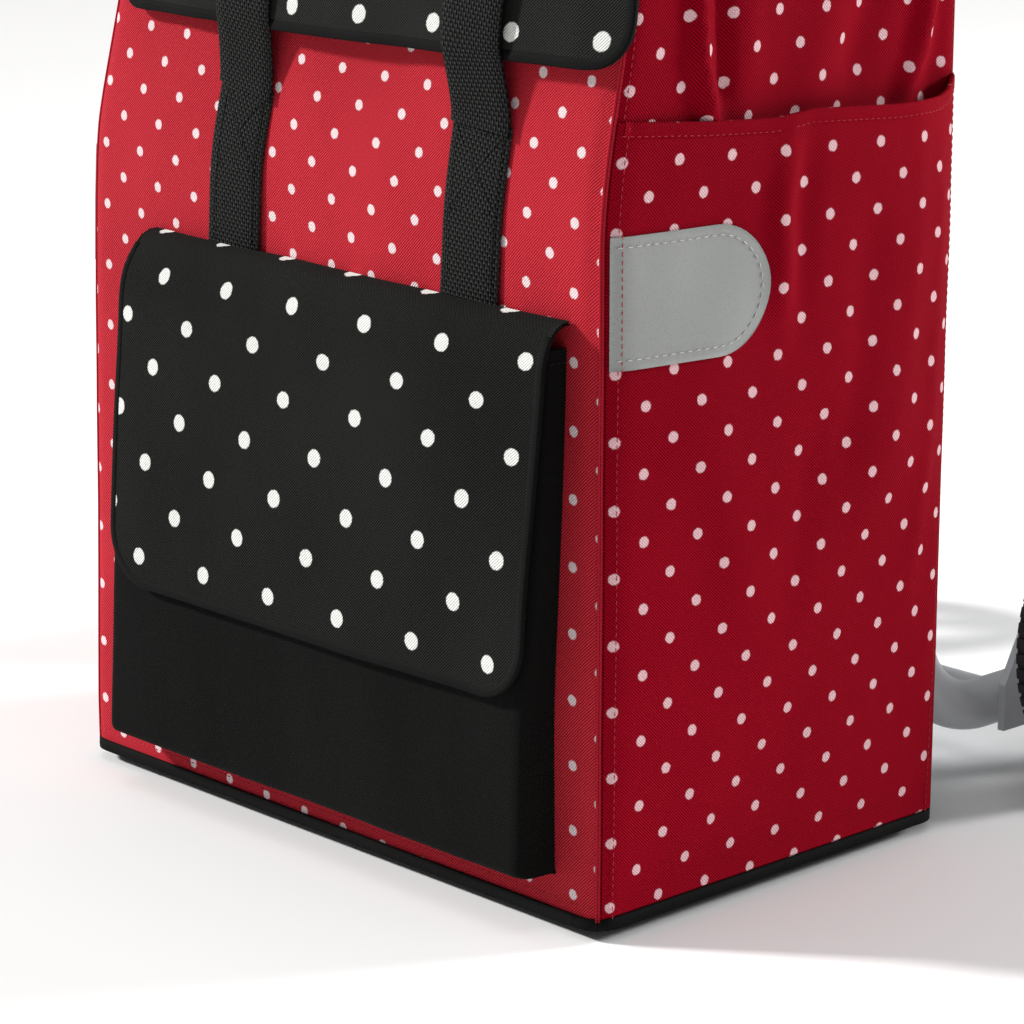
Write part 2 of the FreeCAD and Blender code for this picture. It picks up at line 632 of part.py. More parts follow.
def make_bag_walls():
    inner_x, inner_y = half_wide - dims.cloth, dims.bag_deep / 2 - dims.cloth
    keep("base_panel", block("base_panel", (-half_wide, half_wide), (front_y, rear_y),
                             (floor_z, wall_low)))
    keep("base_binding", band("base_binding", half_wide + dims.binding_out,
                              dims.bag_deep / 2 + dims.binding_out, half_wide, dims.bag_deep / 2,
                              (floor_z, piping_low)))
    face = rectangle((-inner_x, inner_x), (wall_low, dims.bag_top))
    sheet_y("front_panel", (front_y, front_y + dims.cloth), face)
    sheet_y("back_panel", (rear_y - dims.cloth, rear_y), face)
    side_face = rectangle((bag_y - inner_y, bag_y + inner_y), (wall_low, dims.bag_top))
    prism_x("side_panel_left", (-half_wide, -inner_x), side_face)
    prism_x("side_panel_right", (inner_x, half_wide), side_face)
    board_x = half_wide - dims.board_inset
    board_y = dims.bag_deep / 2 - dims.board_inset
    keep("base_board", block("base_board", (-board_x, board_x), (bag_y - board_y, bag_y + board_y),
                             (wall_low, wall_low + dims.board_thick)))
    strips = []
    for number, (side, end) in enumerate(((-1, -1), (1, -1), (-1, 1), (1, 1)), start=1):
        x = (inner_x, half_wide + dims.piping_out)
        x = x if side > 0 else (-x[1], -x[0])
        near, far = inner_y, dims.bag_deep / 2 + dims.piping_out
        y = (bag_y + near, bag_y + far) if end > 0 else (bag_y - far, bag_y - near)
        strips.append(block(f"piping_{number}", x, y, (piping_low, dims.bag_top)))
    keep("corner_piping", group("corner_piping", strips))
    keep("rim_binding", band("rim_binding", half_wide, dims.bag_deep / 2, inner_x, inner_y,
                             (dims.bag_top, dims.bag_top + dims.rim_tall)))


# Depth of the front pocket in front of the bag's wall, at a height.
def pocket_deep(z):
    return dims.pocket_foot_deep - pocket_slope * (z - dims.pocket_low)


def make_front_pocket():
    low, high, wall = dims.pocket_low, dims.pocket_high, dims.pocket_wall
    body = prism_x("front_pocket", (-pocket_left, pocket_right), [
        (front_y, low), (front_y, high), (front_y - pocket_deep(high), high),
        (front_y - pocket_deep(low), low)])
    inside = sketch_on(body, "pocket_inside", "YZ_Plane",
                       (pocket_right - pocket_left) / 2)
    floor = low + wall
    above = high + wall
    outline(inside, [(front_y - wall, floor), (front_y - wall, above),
                     (front_y - pocket_deep(above) + wall, above),
                     (front_y - pocket_deep(floor) + wall, floor)])
    pocket(body, inside, pocket_left + pocket_right - wall * 2)
    tape_low, tape_high = dims.touch_tape_low, dims.touch_tape_high
    prism_x("pocket_touch_tape", (-dims.touch_tape_left, dims.touch_tape_right), [
        (front_y - pocket_deep(tape_low), tape_low), (front_y - pocket_deep(tape_high), tape_high),
        (front_y - pocket_deep(tape_high) - dims.touch_tape_thick, tape_high),
        (front_y - pocket_deep(tape_low) - dims.touch_tape_thick, tape_low)])


# The flap's inner face keeps one gap in front of the pocket's sloping face.
def flap_inner(z):
    return front_y - pocket_deep(z) - dims.flap_gap


def make_pocket_flap():
    top, low, thick = flap_top, dims.flap_low, dims.flap_thick
    back = front_y - dims.flap_back_gap
    flap = prism_x("pocket_flap", (-flap_left, flap_right), [
        (back, top), (flap_inner(top) - thick, top), (flap_inner(low) - thick, low),
        (flap_inner(low), low), (flap_inner(top - thick), top - thick), (back, top - thick)])
    fillet(flap, flap.Tip, edges_along_y(flap.Tip, low), dims.flap_round)
    tape_x = (-flap_left + dims.flap_tape_inset, flap_right - dims.flap_tape_inset)
    high = low + dims.flap_tape_wide
    prism_x("flap_binding", tape_x, [
        (flap_inner(low) - thick, low), (flap_inner(high) - thick, high),
        (flap_inner(high) - thick - dims.flap_tape_thick, high),
        (flap_inner(low) - thick - dims.flap_tape_thick, low)])
    hook_low, hook_high = dims.touch_tape_low, dims.touch_tape_high
    prism_x("flap_touch_tape", (-dims.touch_tape_left, dims.touch_tape_right), [
        (flap_inner(hook_low), hook_low), (flap_inner(hook_high), hook_high),
        (flap_inner(hook_high) + dims.touch_tape_thick, hook_high),
        (flap_inner(hook_low) + dims.touch_tape_thick, hook_low)])


def make_side_pocket():
    inner_y = dims.bag_deep / 2 - dims.cloth
    low, high, wall = dims.side_low, dims.side_high, dims.side_wall
    body = new_body("side_pocket")
    outside = sketch_on(body, "side_pocket_outline", "YZ_Plane", half_wide)
    outline(outside, rectangle((bag_y - inner_y, bag_y + inner_y), (low, high)))
    pad(body, outside, dims.side_gap + wall)
    inside = sketch_on(body, "side_pocket_inside", "YZ_Plane", half_wide)
    outline(inside, rectangle((bag_y - inner_y + wall, bag_y + inner_y - wall),
                              (low + wall, high + wall)))
    # the cut starts at the bag's wall and goes the same way both sides, so it is twice the gap
    pocket(body, inside, dims.side_gap * 2)


# A tab that is square at the bag's front seam and half round at its rear end.
def make_reflector(side, near_x):
    radius = (dims.reflector_high - dims.reflector_low) / 2
    front = bag_y - dims.bag_deep / 2 + dims.cloth
    centre_y = front + dims.reflector_long - radius
    x = (near_x, near_x + dims.reflector_thick)
    x = x if side > 0 else (-x[1], -x[0])
    flat = block(f"reflector_flat_{side_name(side)}", x, (front, centre_y),
                 (dims.reflector_low, dims.reflector_high))
    end = rod(f"reflector_end_{side_name(side)}", "x",
              (x[0], centre_y, dims.reflector_low + radius), dims.reflector_thick, radius)
    label = f"reflector_tab_{side_name(side)}"
    keep(label, fuse(label, [flat, end]))


def make_straps():
    half, low, high = dims.strap_wide / 2, strap_low, strap_sewn_top
    for name, foot, head in (("left", dims.strap_left_low, dims.strap_left_high),
                             ("right", dims.strap_right_low, dims.strap_right_high)):
        sheet_y(f"front_strap_{name}", (front_y - dims.strap_thick, front_y), [
            (foot - half, low), (foot + half, low), (head + half, high), (head - half, high)])
    # free loop: two legs that step out past the lid's drop, and an arch between them
    start, clear, top = strap_sewn_top + dims.loop_gap, lid_low - dims.loop_step, lid_low + dims.loop_leg
    near, far = front_y - dims.loop_out, front_y - dims.loop_out - dims.strap_thick
    legs = []
    for name, middle in (("left", dims.strap_left_high), ("right", dims.strap_right_high)):
        leg = doc.addObject("PartDesign::Body", f"loop_leg_{name}")
        sketch = sketch_on(leg, f"loop_leg_{name}_outline", "YZ_Plane", middle - half)
        outline(sketch, [(front_y, start), (near, clear), (near, top), (far, top), (far, clear),
                         (front_y - dims.strap_thick, start)])
        pad(leg, sketch, dims.strap_wide)
        legs.append(leg)
    middle_x = (dims.strap_left_high + dims.strap_right_high) / 2
    reach = (dims.strap_right_high - dims.strap_left_high) / 2
    arch_y = near - dims.loop_wide
    arch = ring("loop_arch_ring", "y", (middle_x, arch_y, top), dims.loop_wide,
                reach + dims.strap_thick / 2, reach - dims.strap_thick / 2)
    upper = block("loop_arch_half", (middle_x - reach * 2, middle_x + reach * 2),
                  (arch_y, near), (top, top + reach * 2))
    half_arch = doc.addObject("Part::Common", "loop_arch")
    half_arch.Base, half_arch.Tool = arch, upper
    keep("carry_handle", fuse("carry_handle", [*legs, half_arch]))


def make_hooks():
    bar_y, bar_z = tube_y, dims.upper_bar_z
    inner = dims.bar_radius + dims.hook_clear
    outer = inner + dims.hook_wall
    hook_low = bar_z - dims.hook_below
    hooks = []
    for side in (-1, 1):
        name = side_name(side)
        x = (side * dims.hook_side - dims.hook_wide / 2, side * dims.hook_side + dims.hook_wide / 2)
        lower = block(f"hook_lower_{name}", x, (rear_y, bar_y + outer), (hook_low, bar_z))
        upper = block(f"hook_upper_{name}", x, (rear_y, bar_y), (bar_z, bar_z + outer))
        crown = rod(f"hook_crown_{name}", "x", (x[0], bar_y, bar_z), dims.hook_wide, outer)
        slot = block(f"hook_slot_{name}", x, (bar_y - inner, bar_y + inner), (hook_low, bar_z))
        eye = rod(f"hook_eye_{name}", "x", (x[0], bar_y, bar_z), dims.hook_wide, inner)
        hooks.append(cut(f"hook_{name}", fuse(f"hook_whole_{name}", [lower, upper, crown]),
                         [slot, eye]))
    keep("bag_hooks", group("bag_hooks", hooks))


# ---- Lid -----------------------------------------------------------------------------------------

def make_lid():
    half = half_wide + dims.lid_overhang
    inner = front_y - dims.lid_front_gap
    outer = inner - dims.lid_thick
    lid = prism_x("lid_cover", (-half, half), [
        (rear_y, lid_z), (rear_y, lid_z + dims.lid_thick), (outer, lid_z + dims.lid_thick),
        (outer, lid_low), (inner, lid_low), (inner, lid_z)])
    fillet(lid, lid.Tip, edges_along_y(lid.Tip, lid_low), dims.lid_round)
    keep("lid_binding", block("lid_binding", (-half + dims.lid_round, half - dims.lid_round),
                              (outer - dims.lid_tape_thick, outer),
                              (lid_low, lid_low + dims.lid_tape_tall)))


# ---- Build, check and write ------------------------------------------------------------------------

make_side_tubes()
make_cross_bars()
make_lower_plates()
make_axles()
for side in (-1, 1):
    make_wheel(side)
make_handle()
keep("clamp_pins", group("clamp_pins", [make_clamp(side) for side in (-1, 1)]))
make_bag_walls()
make_front_pocket()
make_side_pocket()
make_reflector(1, side_front_x + dims.side_wall)
make_reflector(-1, half_wide)
make_straps()
make_hooks()
make_lid()
make_pocket_flap()
doc.recompute()

for item in doc.Objects:
    if "Invalid" in item.State or "Error" in item.State:
        raise RuntimeError(f"{item.Name} failed: {item.State}")

os.makedirs("parts", exist_ok=True)
for label, item in nodes.items():
    if item.Shape.isNull() or not item.Shape.isValid() or not item.Shape.Solids:
        raise RuntimeError(f"{label} has no valid solid")
    item.Shape.exportStep(f"parts/{label}.step")

whole = FreeCAD.BoundBox()
for item in nodes.values():
    whole.add(item.Shape.BoundBox)
print(len(nodes), "pieces, box", [round(v, 2) for v in (
    whole.XMin, whole.XMax, whole.YMin, whole.YMax, whole.ZMin, whole.ZMax)])
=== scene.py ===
import json
import math

import bpy
import numpy as np
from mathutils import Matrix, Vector


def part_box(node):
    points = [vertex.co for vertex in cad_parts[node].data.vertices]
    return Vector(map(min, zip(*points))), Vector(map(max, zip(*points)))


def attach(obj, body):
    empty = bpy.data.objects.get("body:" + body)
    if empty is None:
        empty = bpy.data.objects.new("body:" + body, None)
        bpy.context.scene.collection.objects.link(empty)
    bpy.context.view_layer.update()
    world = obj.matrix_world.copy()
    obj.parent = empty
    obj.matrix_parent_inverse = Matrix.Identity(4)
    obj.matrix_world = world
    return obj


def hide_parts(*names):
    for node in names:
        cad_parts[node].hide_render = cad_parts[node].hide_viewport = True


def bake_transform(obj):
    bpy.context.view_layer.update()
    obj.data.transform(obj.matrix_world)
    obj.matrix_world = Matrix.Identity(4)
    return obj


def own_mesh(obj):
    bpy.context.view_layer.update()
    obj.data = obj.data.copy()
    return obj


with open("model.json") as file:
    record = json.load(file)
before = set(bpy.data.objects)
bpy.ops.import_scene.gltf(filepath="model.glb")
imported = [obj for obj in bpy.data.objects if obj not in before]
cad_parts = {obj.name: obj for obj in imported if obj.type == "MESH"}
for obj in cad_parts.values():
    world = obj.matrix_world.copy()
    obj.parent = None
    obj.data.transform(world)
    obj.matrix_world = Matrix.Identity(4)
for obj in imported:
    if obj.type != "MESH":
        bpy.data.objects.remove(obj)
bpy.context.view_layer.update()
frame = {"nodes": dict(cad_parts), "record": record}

nodes = frame["nodes"]

# where the bag's walls are, from the frame
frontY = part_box("front_panel")[0].y
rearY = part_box("back_panel")[1].y
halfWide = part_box("side_panel_right")[1].x
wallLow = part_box("front_panel")[0].z
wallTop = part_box("front_panel")[1].z
bagY = (frontY + rearY) / 2
halfDeep = (rearY - frontY) / 2


def tint(red, green, blue):
    def level(value):
        value /= 255
        return value / 12.92 if value <= 0.04045 else ((value + 0.055) / 1.055) ** 2.4

    return (level(red), level(green), level(blue), 1.0)


# camera and light
cameraSet = {"place": (1.2720, -1.27815, 0.5931), "turn": 46.85, "tilt": 14.49, "lens": 128.7, "far": 60}
lampSet = {
    "key": {"kind": "SUN", "place": (-2.7, -2.1, 2.3), "size": 6.0, "power": 4.6, "tint": (1.0, 0.985, 0.97)},
    "rear": {"kind": "AREA", "place": (1.55, 2.9, 1.35), "size": 0.8, "power": 105, "tint": (1.0, 1.0, 1.0)},
    "top": {"kind": "AREA", "place": (0.2, -0.4, 3.4), "size": 2.4, "power": 26, "tint": (1.0, 1.0, 1.0)},
}
worldSet = {"tint": (0.95, 0.96, 0.97, 1), "strength": 0.28, "seen": 1.0}


def addObject(name, data):
    made = bpy.data.objects.new(name, data)
    bpy.context.scene.collection.objects.link(made)
    return made


# a value is a number, a socket, or a node that gives its first output
def addNode(tree, kind, settings=(), values=()):
    made = tree.nodes.new(kind)
    for key, value in dict(settings).items():
        setattr(made, key, value)
    for key, value in dict(values).items():
        if isinstance(value, bpy.types.Node):
            value = value.outputs[0]
        if isinstance(value, bpy.types.NodeSocket):
            tree.links.new(value, made.inputs[key])
        else:
            made.inputs[key].default_value = value
    return made


def makeCamera():
    data = bpy.data.cameras.new("camera")
    data.lens = cameraSet["lens"]
    data.sensor_width = 36
    data.clip_start = 0.05
    data.clip_end = cameraSet["far"]
    camera = addObject("camera", data)
    turn, tilt = math.radians(cameraSet["turn"]), math.radians(cameraSet["tilt"])
    ahead = Vector((-math.sin(turn) * math.cos(tilt), math.cos(turn) * math.cos(tilt), -math.sin(tilt)))
    camera.location = cameraSet["place"]
    camera.rotation_mode = "QUATERNION"
    camera.rotation_quaternion = ahead.to_track_quat("-Z", "Y")
    bpy.context.scene.camera = camera


def makeLamps():
    aim = Vector((0, -0.05, 0.3))
    for name, spec in lampSet.items():
        data = bpy.data.lights.new(name, spec["kind"])
        if spec["kind"] == "SUN":
            data.angle = math.radians(spec["size"])
        else:
            data.shape = "DISK"
            data.size = spec["size"]
        data.energy = spec["power"]
        data.color = spec["tint"]
        lamp = addObject("lamp_" + name, data)
        lamp.location = spec["place"]
        lamp.rotation_mode = "QUATERNION"
        lamp.rotation_quaternion = (aim - lamp.location).to_track_quat("-Z", "Y")
    world = bpy.data.worlds.new("studio")
    world.use_nodes = True
    backdrop = world.node_tree.nodes["Background"]
    backdrop.inputs["Color"].default_value = worldSet["tint"]
    # white where the camera sees past the floor
    path = addNode(world.node_tree, "ShaderNodeLightPath")
    scale = addNode(world.node_tree, "ShaderNodeMapRange", (), {
        "Value": path.outputs["Is Camera Ray"], "To Min": worldSet["strength"], "To Max": worldSet["seen"]})
    world.node_tree.links.new(scale.outputs["Result"], backdrop.inputs["Strength"])
    bpy.context.scene.world = world
    bpy.context.scene.view_settings.view_transform = "Standard"


makeCamera()
makeLamps()
print("camera and lamps made")


# A wire is an output of a node; sums on wires add Math nodes to the same finish.
class Wire:
    def __init__(self, finish, socket):
        self.finish = finish
        self.socket = socket

    def calc(self, operation, *others):
        return self.finish.node("ShaderNodeMath", {"operation": operation}, enumerate((self,) + others))

    def __add__(self, other):
        return self.calc("ADD", other)

    def __sub__(self, other):
        return self.calc("SUBTRACT", other)

    def __rsub__(self, other):
        return self.finish.node("ShaderNodeMath", {"operation": "SUBTRACT"}, {0: other, 1: self})

    def __mul__(self, other):
        return self.calc("MULTIPLY", other)

    def __truediv__(self, other):
        return self.calc("DIVIDE", other)

    __radd__ = __add__
    __rmul__ = __mul__

    def wave(self):  # 0 to 1, once for each whole number
        return (self * (2 * math.pi)).calc("SINE") * 0.5 + 0.5

    def offWhole(self):  # signed distance to the nearest whole number
        return self - self.calc("ROUND")

    def ramp(self, low, high):  # 0 below low, 1 above high, smooth between
        return self.finish.node(
            "ShaderNodeMapRange", {"interpolation_type": "SMOOTHSTEP"},
            {"Value": self, "From Min": low, "From Max": high, "To Min": 0.0, "To Max": 1.0})


class Finish:
    def __init__(self, name):
        self.material = bpy.data.materials.new(name)
        self.material.use_nodes = True
        self.tree = self.material.node_tree
        self.tree.nodes.clear()

    def node(self, kind, settings=(), values=(), out=0):
        values = {key: getattr(value, "socket", value) for key, value in dict(values).items()}
        made = addNode(self.tree, kind, settings, values)
        return Wire(self, made.outputs[out]) if made.outputs else None

    def mix(self, factor, low, high):
        return self.node("ShaderNodeMix", {"data_type": "RGBA"}, {0: factor, 6: low, 7: high}, 2)

    def noise(self, vector, scale, detail=2.0, rough=0.5):
        values = {"Vector": vector, "Scale": scale, "Detail": detail, "Roughness": rough}
        return self.node("ShaderNodeTexNoise", {}, values)

    def place(self):
        return self.node("ShaderNodeTexCoord", {}, {}, "Object")

    def cloth(self):
        return self.node("ShaderNodeUVMap", {"uv_map": "cloth"})

    def split(self, vector):
        made = self.node("ShaderNodeSeparateXYZ", {}, {0: vector})
        others = made.socket.node.outputs
        return made, Wire(self, others[1]), Wire(self, others[2])

    def bump(self, height, distance, strength=1.0, normal=None):
        values = {"Height": height, "Distance": distance, "Strength": strength}
        if normal is not None:
            values["Normal"] = normal
        return self.node("ShaderNodeBump", {}, values)

    def done(self, **values):
        names = {"colour": "Base Color", "rough": "Roughness", "metal": "Metallic", "normal": "Normal",
                 "sheen": "Sheen Weight", "sheenRough": "Sheen Roughness", "shine": "Specular IOR Level"}
        shader = self.node("ShaderNodeBsdfPrincipled", {}, {names[key]: value for key, value in values.items()})
        self.node("ShaderNodeOutputMaterial", {}, {"Surface": shader})
        return self.material


# Woven cloth. Twill ribs lean by "lean"; dots sit on a lattice with one more in the middle of each cell.
def wovenCloth(name, ground, shade, lean=1.0, pitch=0.0015, dots=None, dotTint=None, sheen=0.02, shine=0.10):
    f = Finish(name)
    uv = f.cloth()
    u, v, _ = f.split(uv)
    spot = f.place()
    drift = f.noise(uv, 34.0, 2.0) * 0.5
    rib = ((u * lean - v) / pitch + drift).wave()
    crossing = ((u * lean + v) / (pitch * 1.25) + drift).wave()
    weave = rib * (0.62 + 0.38 * crossing)
    cloud = f.noise(spot, 7.0, 3.0)
    speck = f.noise(uv, 900.0, 2.0, 0.6)
    level = weave * 0.62 + speck * 0.34 + (cloud - 0.5) * 0.30
    # the colour runs between the two tones along the ribs: partly yarn pattern, partly painted shade in the grooves
    # and painted highlight on the ridges, with random speck and cloud tone
    colour = f.mix(level.ramp(0.12, 0.86), shade, ground)
    if dots:
        across = (u - dots["at"][0]) / dots["wide"] - (v - dots["at"][1]) * (dots["lean"] / dots["wide"])
        up = (v - dots["at"][1]) / dots["tall"] + (u - dots["at"][0]) * (dots["fall"] / dots["tall"])
        ragged = (f.noise(uv, 700.0, 2.0) - 0.5) * 0.0009

        def away(a, b):
            a, b = a.offWhole() * dots["wide"], b.offWhole() * dots["tall"]
            return (a * a + b * b).calc("SQRT")

        near = away(across, up).calc("MINIMUM", away(across + 0.5, up + 0.5)) + ragged
        mask = 1.0 - near.ramp(dots["radius"] - 0.0004, dots["radius"] + 0.00035)
        # the dots take the same painted rib shade and highlight
        inked = f.mix(0.45 + 0.55 * weave, dotTint[1], dotTint[0])
        colour = f.mix(mask * (0.90 + 0.10 * weave), colour, inked)
    crumple = f.bump(f.noise(spot, 52.0, 3.0, 0.45), 0.0016, 0.35)
    return f.done(colour=colour, rough=0.82 + 0.12 * (1.0 - weave) - 0.05 * speck,
                  normal=f.bump(weave + speck * 0.35, 0.00034, 0.8, crumple),
                  sheen=sheen, sheenRough=0.45, shine=shine)


# Webbing: coarse basket weave with a finer edge along both sides.
def webbingFinish(name, ground, shade, wide=0.038):
    f = Finish(name)
    u, v, _ = f.split(f.cloth())
    warp = (u / 0.0015).wave()
    weft = (v / 0.0019).wave()
    shifted = (u / 0.0030 + (v / 0.0019).calc("FLOOR") * 0.5).wave()
    weave = (warp * 0.45 + shifted * 0.55) * (0.45 + 0.55 * weft)
    edge = (u.calc("ABSOLUTE") * (2.0 / wide)).ramp(0.86, 0.92)
    weave = weave * (1.0 - edge * 0.45) + edge * 0.2
    fuzz = f.noise(f.place(), 1400.0, 2.0)
    colour = f.mix((weave * 0.75 + fuzz * 0.3).ramp(0.2, 0.9), shade, ground)
    normal = f.bump(weave + fuzz * 0.15, 0.0010, 0.9)
    return f.done(colour=colour, rough=0.66 + 0.2 * fuzz, normal=normal, sheen=0.0, shine=0.05)


# Fine grosgrain tape for bindings and hems.
def tapeFinish(name, ground, shade, pitch):
    f = Finish(name)
    rib = (f.split(f.cloth())[1] / pitch).wave()
    fuzz = f.noise(f.place(), 1100.0, 2.0)
    cloud = f.noise(f.place(), 18.0, 2.0)
    colour = f.mix((rib * 0.5 + fuzz * 0.35 + cloud * 0.3).ramp(0.15, 0.95), shade, ground)
    return f.done(colour=colour, rough=0.68 + 0.18 * fuzz, normal=f.bump(rib + fuzz * 0.4, 0.00014, 0.7),
                  sheen=0.0, shine=0.06)


# Hook and loop tape: a short, dense pile.
def pileFinish(name, ground, shade):
    f = Finish(name)
    pile = f.node("ShaderNodeTexVoronoi", {}, {"Vector": f.place(), "Scale": 1300.0})
    fuzz = f.noise(f.place(), 2200.0, 3.0, 0.7)
    height = (1.0 - pile) * 0.6 + fuzz * 0.5
    return f.done(colour=f.mix(height.ramp(0.2, 1.0), shade, ground), rough=0.85 + 0.1 * fuzz,
                  normal=f.bump(height, 0.0008, 1.0), sheen=0.05, sheenRough=0.5, shine=0.1)


# Sewing thread: two plies that twist along the stitch.
def threadFinish(name, ground, shade):
    f = Finish(name)
    x, y, z = f.split(f.place())
    ply = ((x + y * 0.7 + z) / 0.0007).wave()
    fuzz = f.noise(f.place(), 2600.0, 2.0)
    return f.done(colour=f.mix((ply * 0.6 + fuzz * 0.4).ramp(0.1, 0.9), shade, ground), rough=0.55 + 0.2 * fuzz,
                  normal=f.bump(ply, 0.00015, 0.7), sheen=0.02, sheenRough=0.4, shine=0.2)


# Retroreflective sheet: satin grey with a fine hexagonal grain.
def reflectorFinish(name, ground, shade):
    f = Finish(name)
    cell = f.node("ShaderNodeTexVoronoi", {"feature": "DISTANCE_TO_EDGE"}, {"Vector": f.cloth(), "Scale": 1300.0})
    cloud = f.noise(f.place(), 26.0, 3.0)
    grain = cell.ramp(0.0, 0.12)
    colour = f.mix(grain * 0.55 + (cloud - 0.5) * 0.35 + 0.2, shade, ground)
    return f.done(colour=colour, rough=0.42 + 0.16 * cloud, metal=0.25 * grain + 0.05, shine=0.5,
                  normal=f.bump(grain, 0.00004, 0.4, f.bump(cloud, 0.001, 0.3)))


# Hard parts share one recipe: rounded edges, a fine skin, rubbed edges and a little dust.
def hardFinish(name, ground, worn, rough, metal=0.0, grain=(900.0, 0.00008), edge=0.0007, wear=0.5,
               dust=None, brush=None):
    f = Finish(name)
    spot = f.place()
    skin = f.noise(spot, grain[0], 3.0, 0.6)
    cloud = f.noise(spot, 14.0, 3.0)
    rounded = f.node("ShaderNodeBevel", {"samples": 4}, {"Radius": edge})
    flat = f.node("ShaderNodeNewGeometry", {}, {}, "Normal")
    agree = f.node("ShaderNodeVectorMath", {"operation": "DOT_PRODUCT"}, {0: rounded, 1: flat}, "Value")
    rub = (1.0 - agree).ramp(0.01, 0.22) * wear * f.noise(spot, 160.0, 3.0).ramp(0.35, 0.7)
    colour = f.mix(rub, f.mix((cloud * 0.8 + skin * 0.2).ramp(0.25, 0.8), ground[1], ground[0]), worn)
    roughness = rough + (cloud - 0.5) * 0.18 + (skin - 0.5) * 0.14
    if dust:
        settle = f.noise(spot, 38.0, 4.0, 0.65).ramp(0.52, 0.78) * dust[1]
        colour = f.mix(settle, colour, dust[0])
        roughness = roughness + settle * 0.2
    height = skin
    if brush:  # drawn metal: a grain stretched along the tube
        x, y, z = f.split(spot)
        stretched = f.node("ShaderNodeCombineXYZ", {}, {0: x * brush[0], 1: y * brush[1], 2: z * brush[2]})
        height = f.noise(stretched, 1.0, 3.0, 0.6)
        roughness = roughness + (height - 0.5) * 0.2
    return f.done(colour=colour, rough=roughness, metal=metal, shine=0.5,
                  normal=f.bump(height, grain[1], 0.8, rounded))


redDots = {"at": (0.0120, 0.3442), "wide": 0.0286, "tall": 0.0303, "lean": 0.0, "fall": 0.04, "radius": 0.00245}
sideDots = {"at": (0.0119, 0.2247), "wide": 0.0300, "tall": 0.0303, "lean": 0.0, "fall": 0.03, "radius": 0.00255}
flapDots = {"at": (-0.0009, 0.2215), "wide": 0.0494, "tall": 0.0477, "lean": 0.08, "fall": 0.0, "radius": 0.0042}
lidDots = {"at": (-0.018, 0.012), "wide": 0.0477, "tall": 0.0477, "lean": 0.05, "fall": 0.0, "radius": 0.0042}

redGround, redShade = tint(214, 52, 66), tint(134, 10, 25)
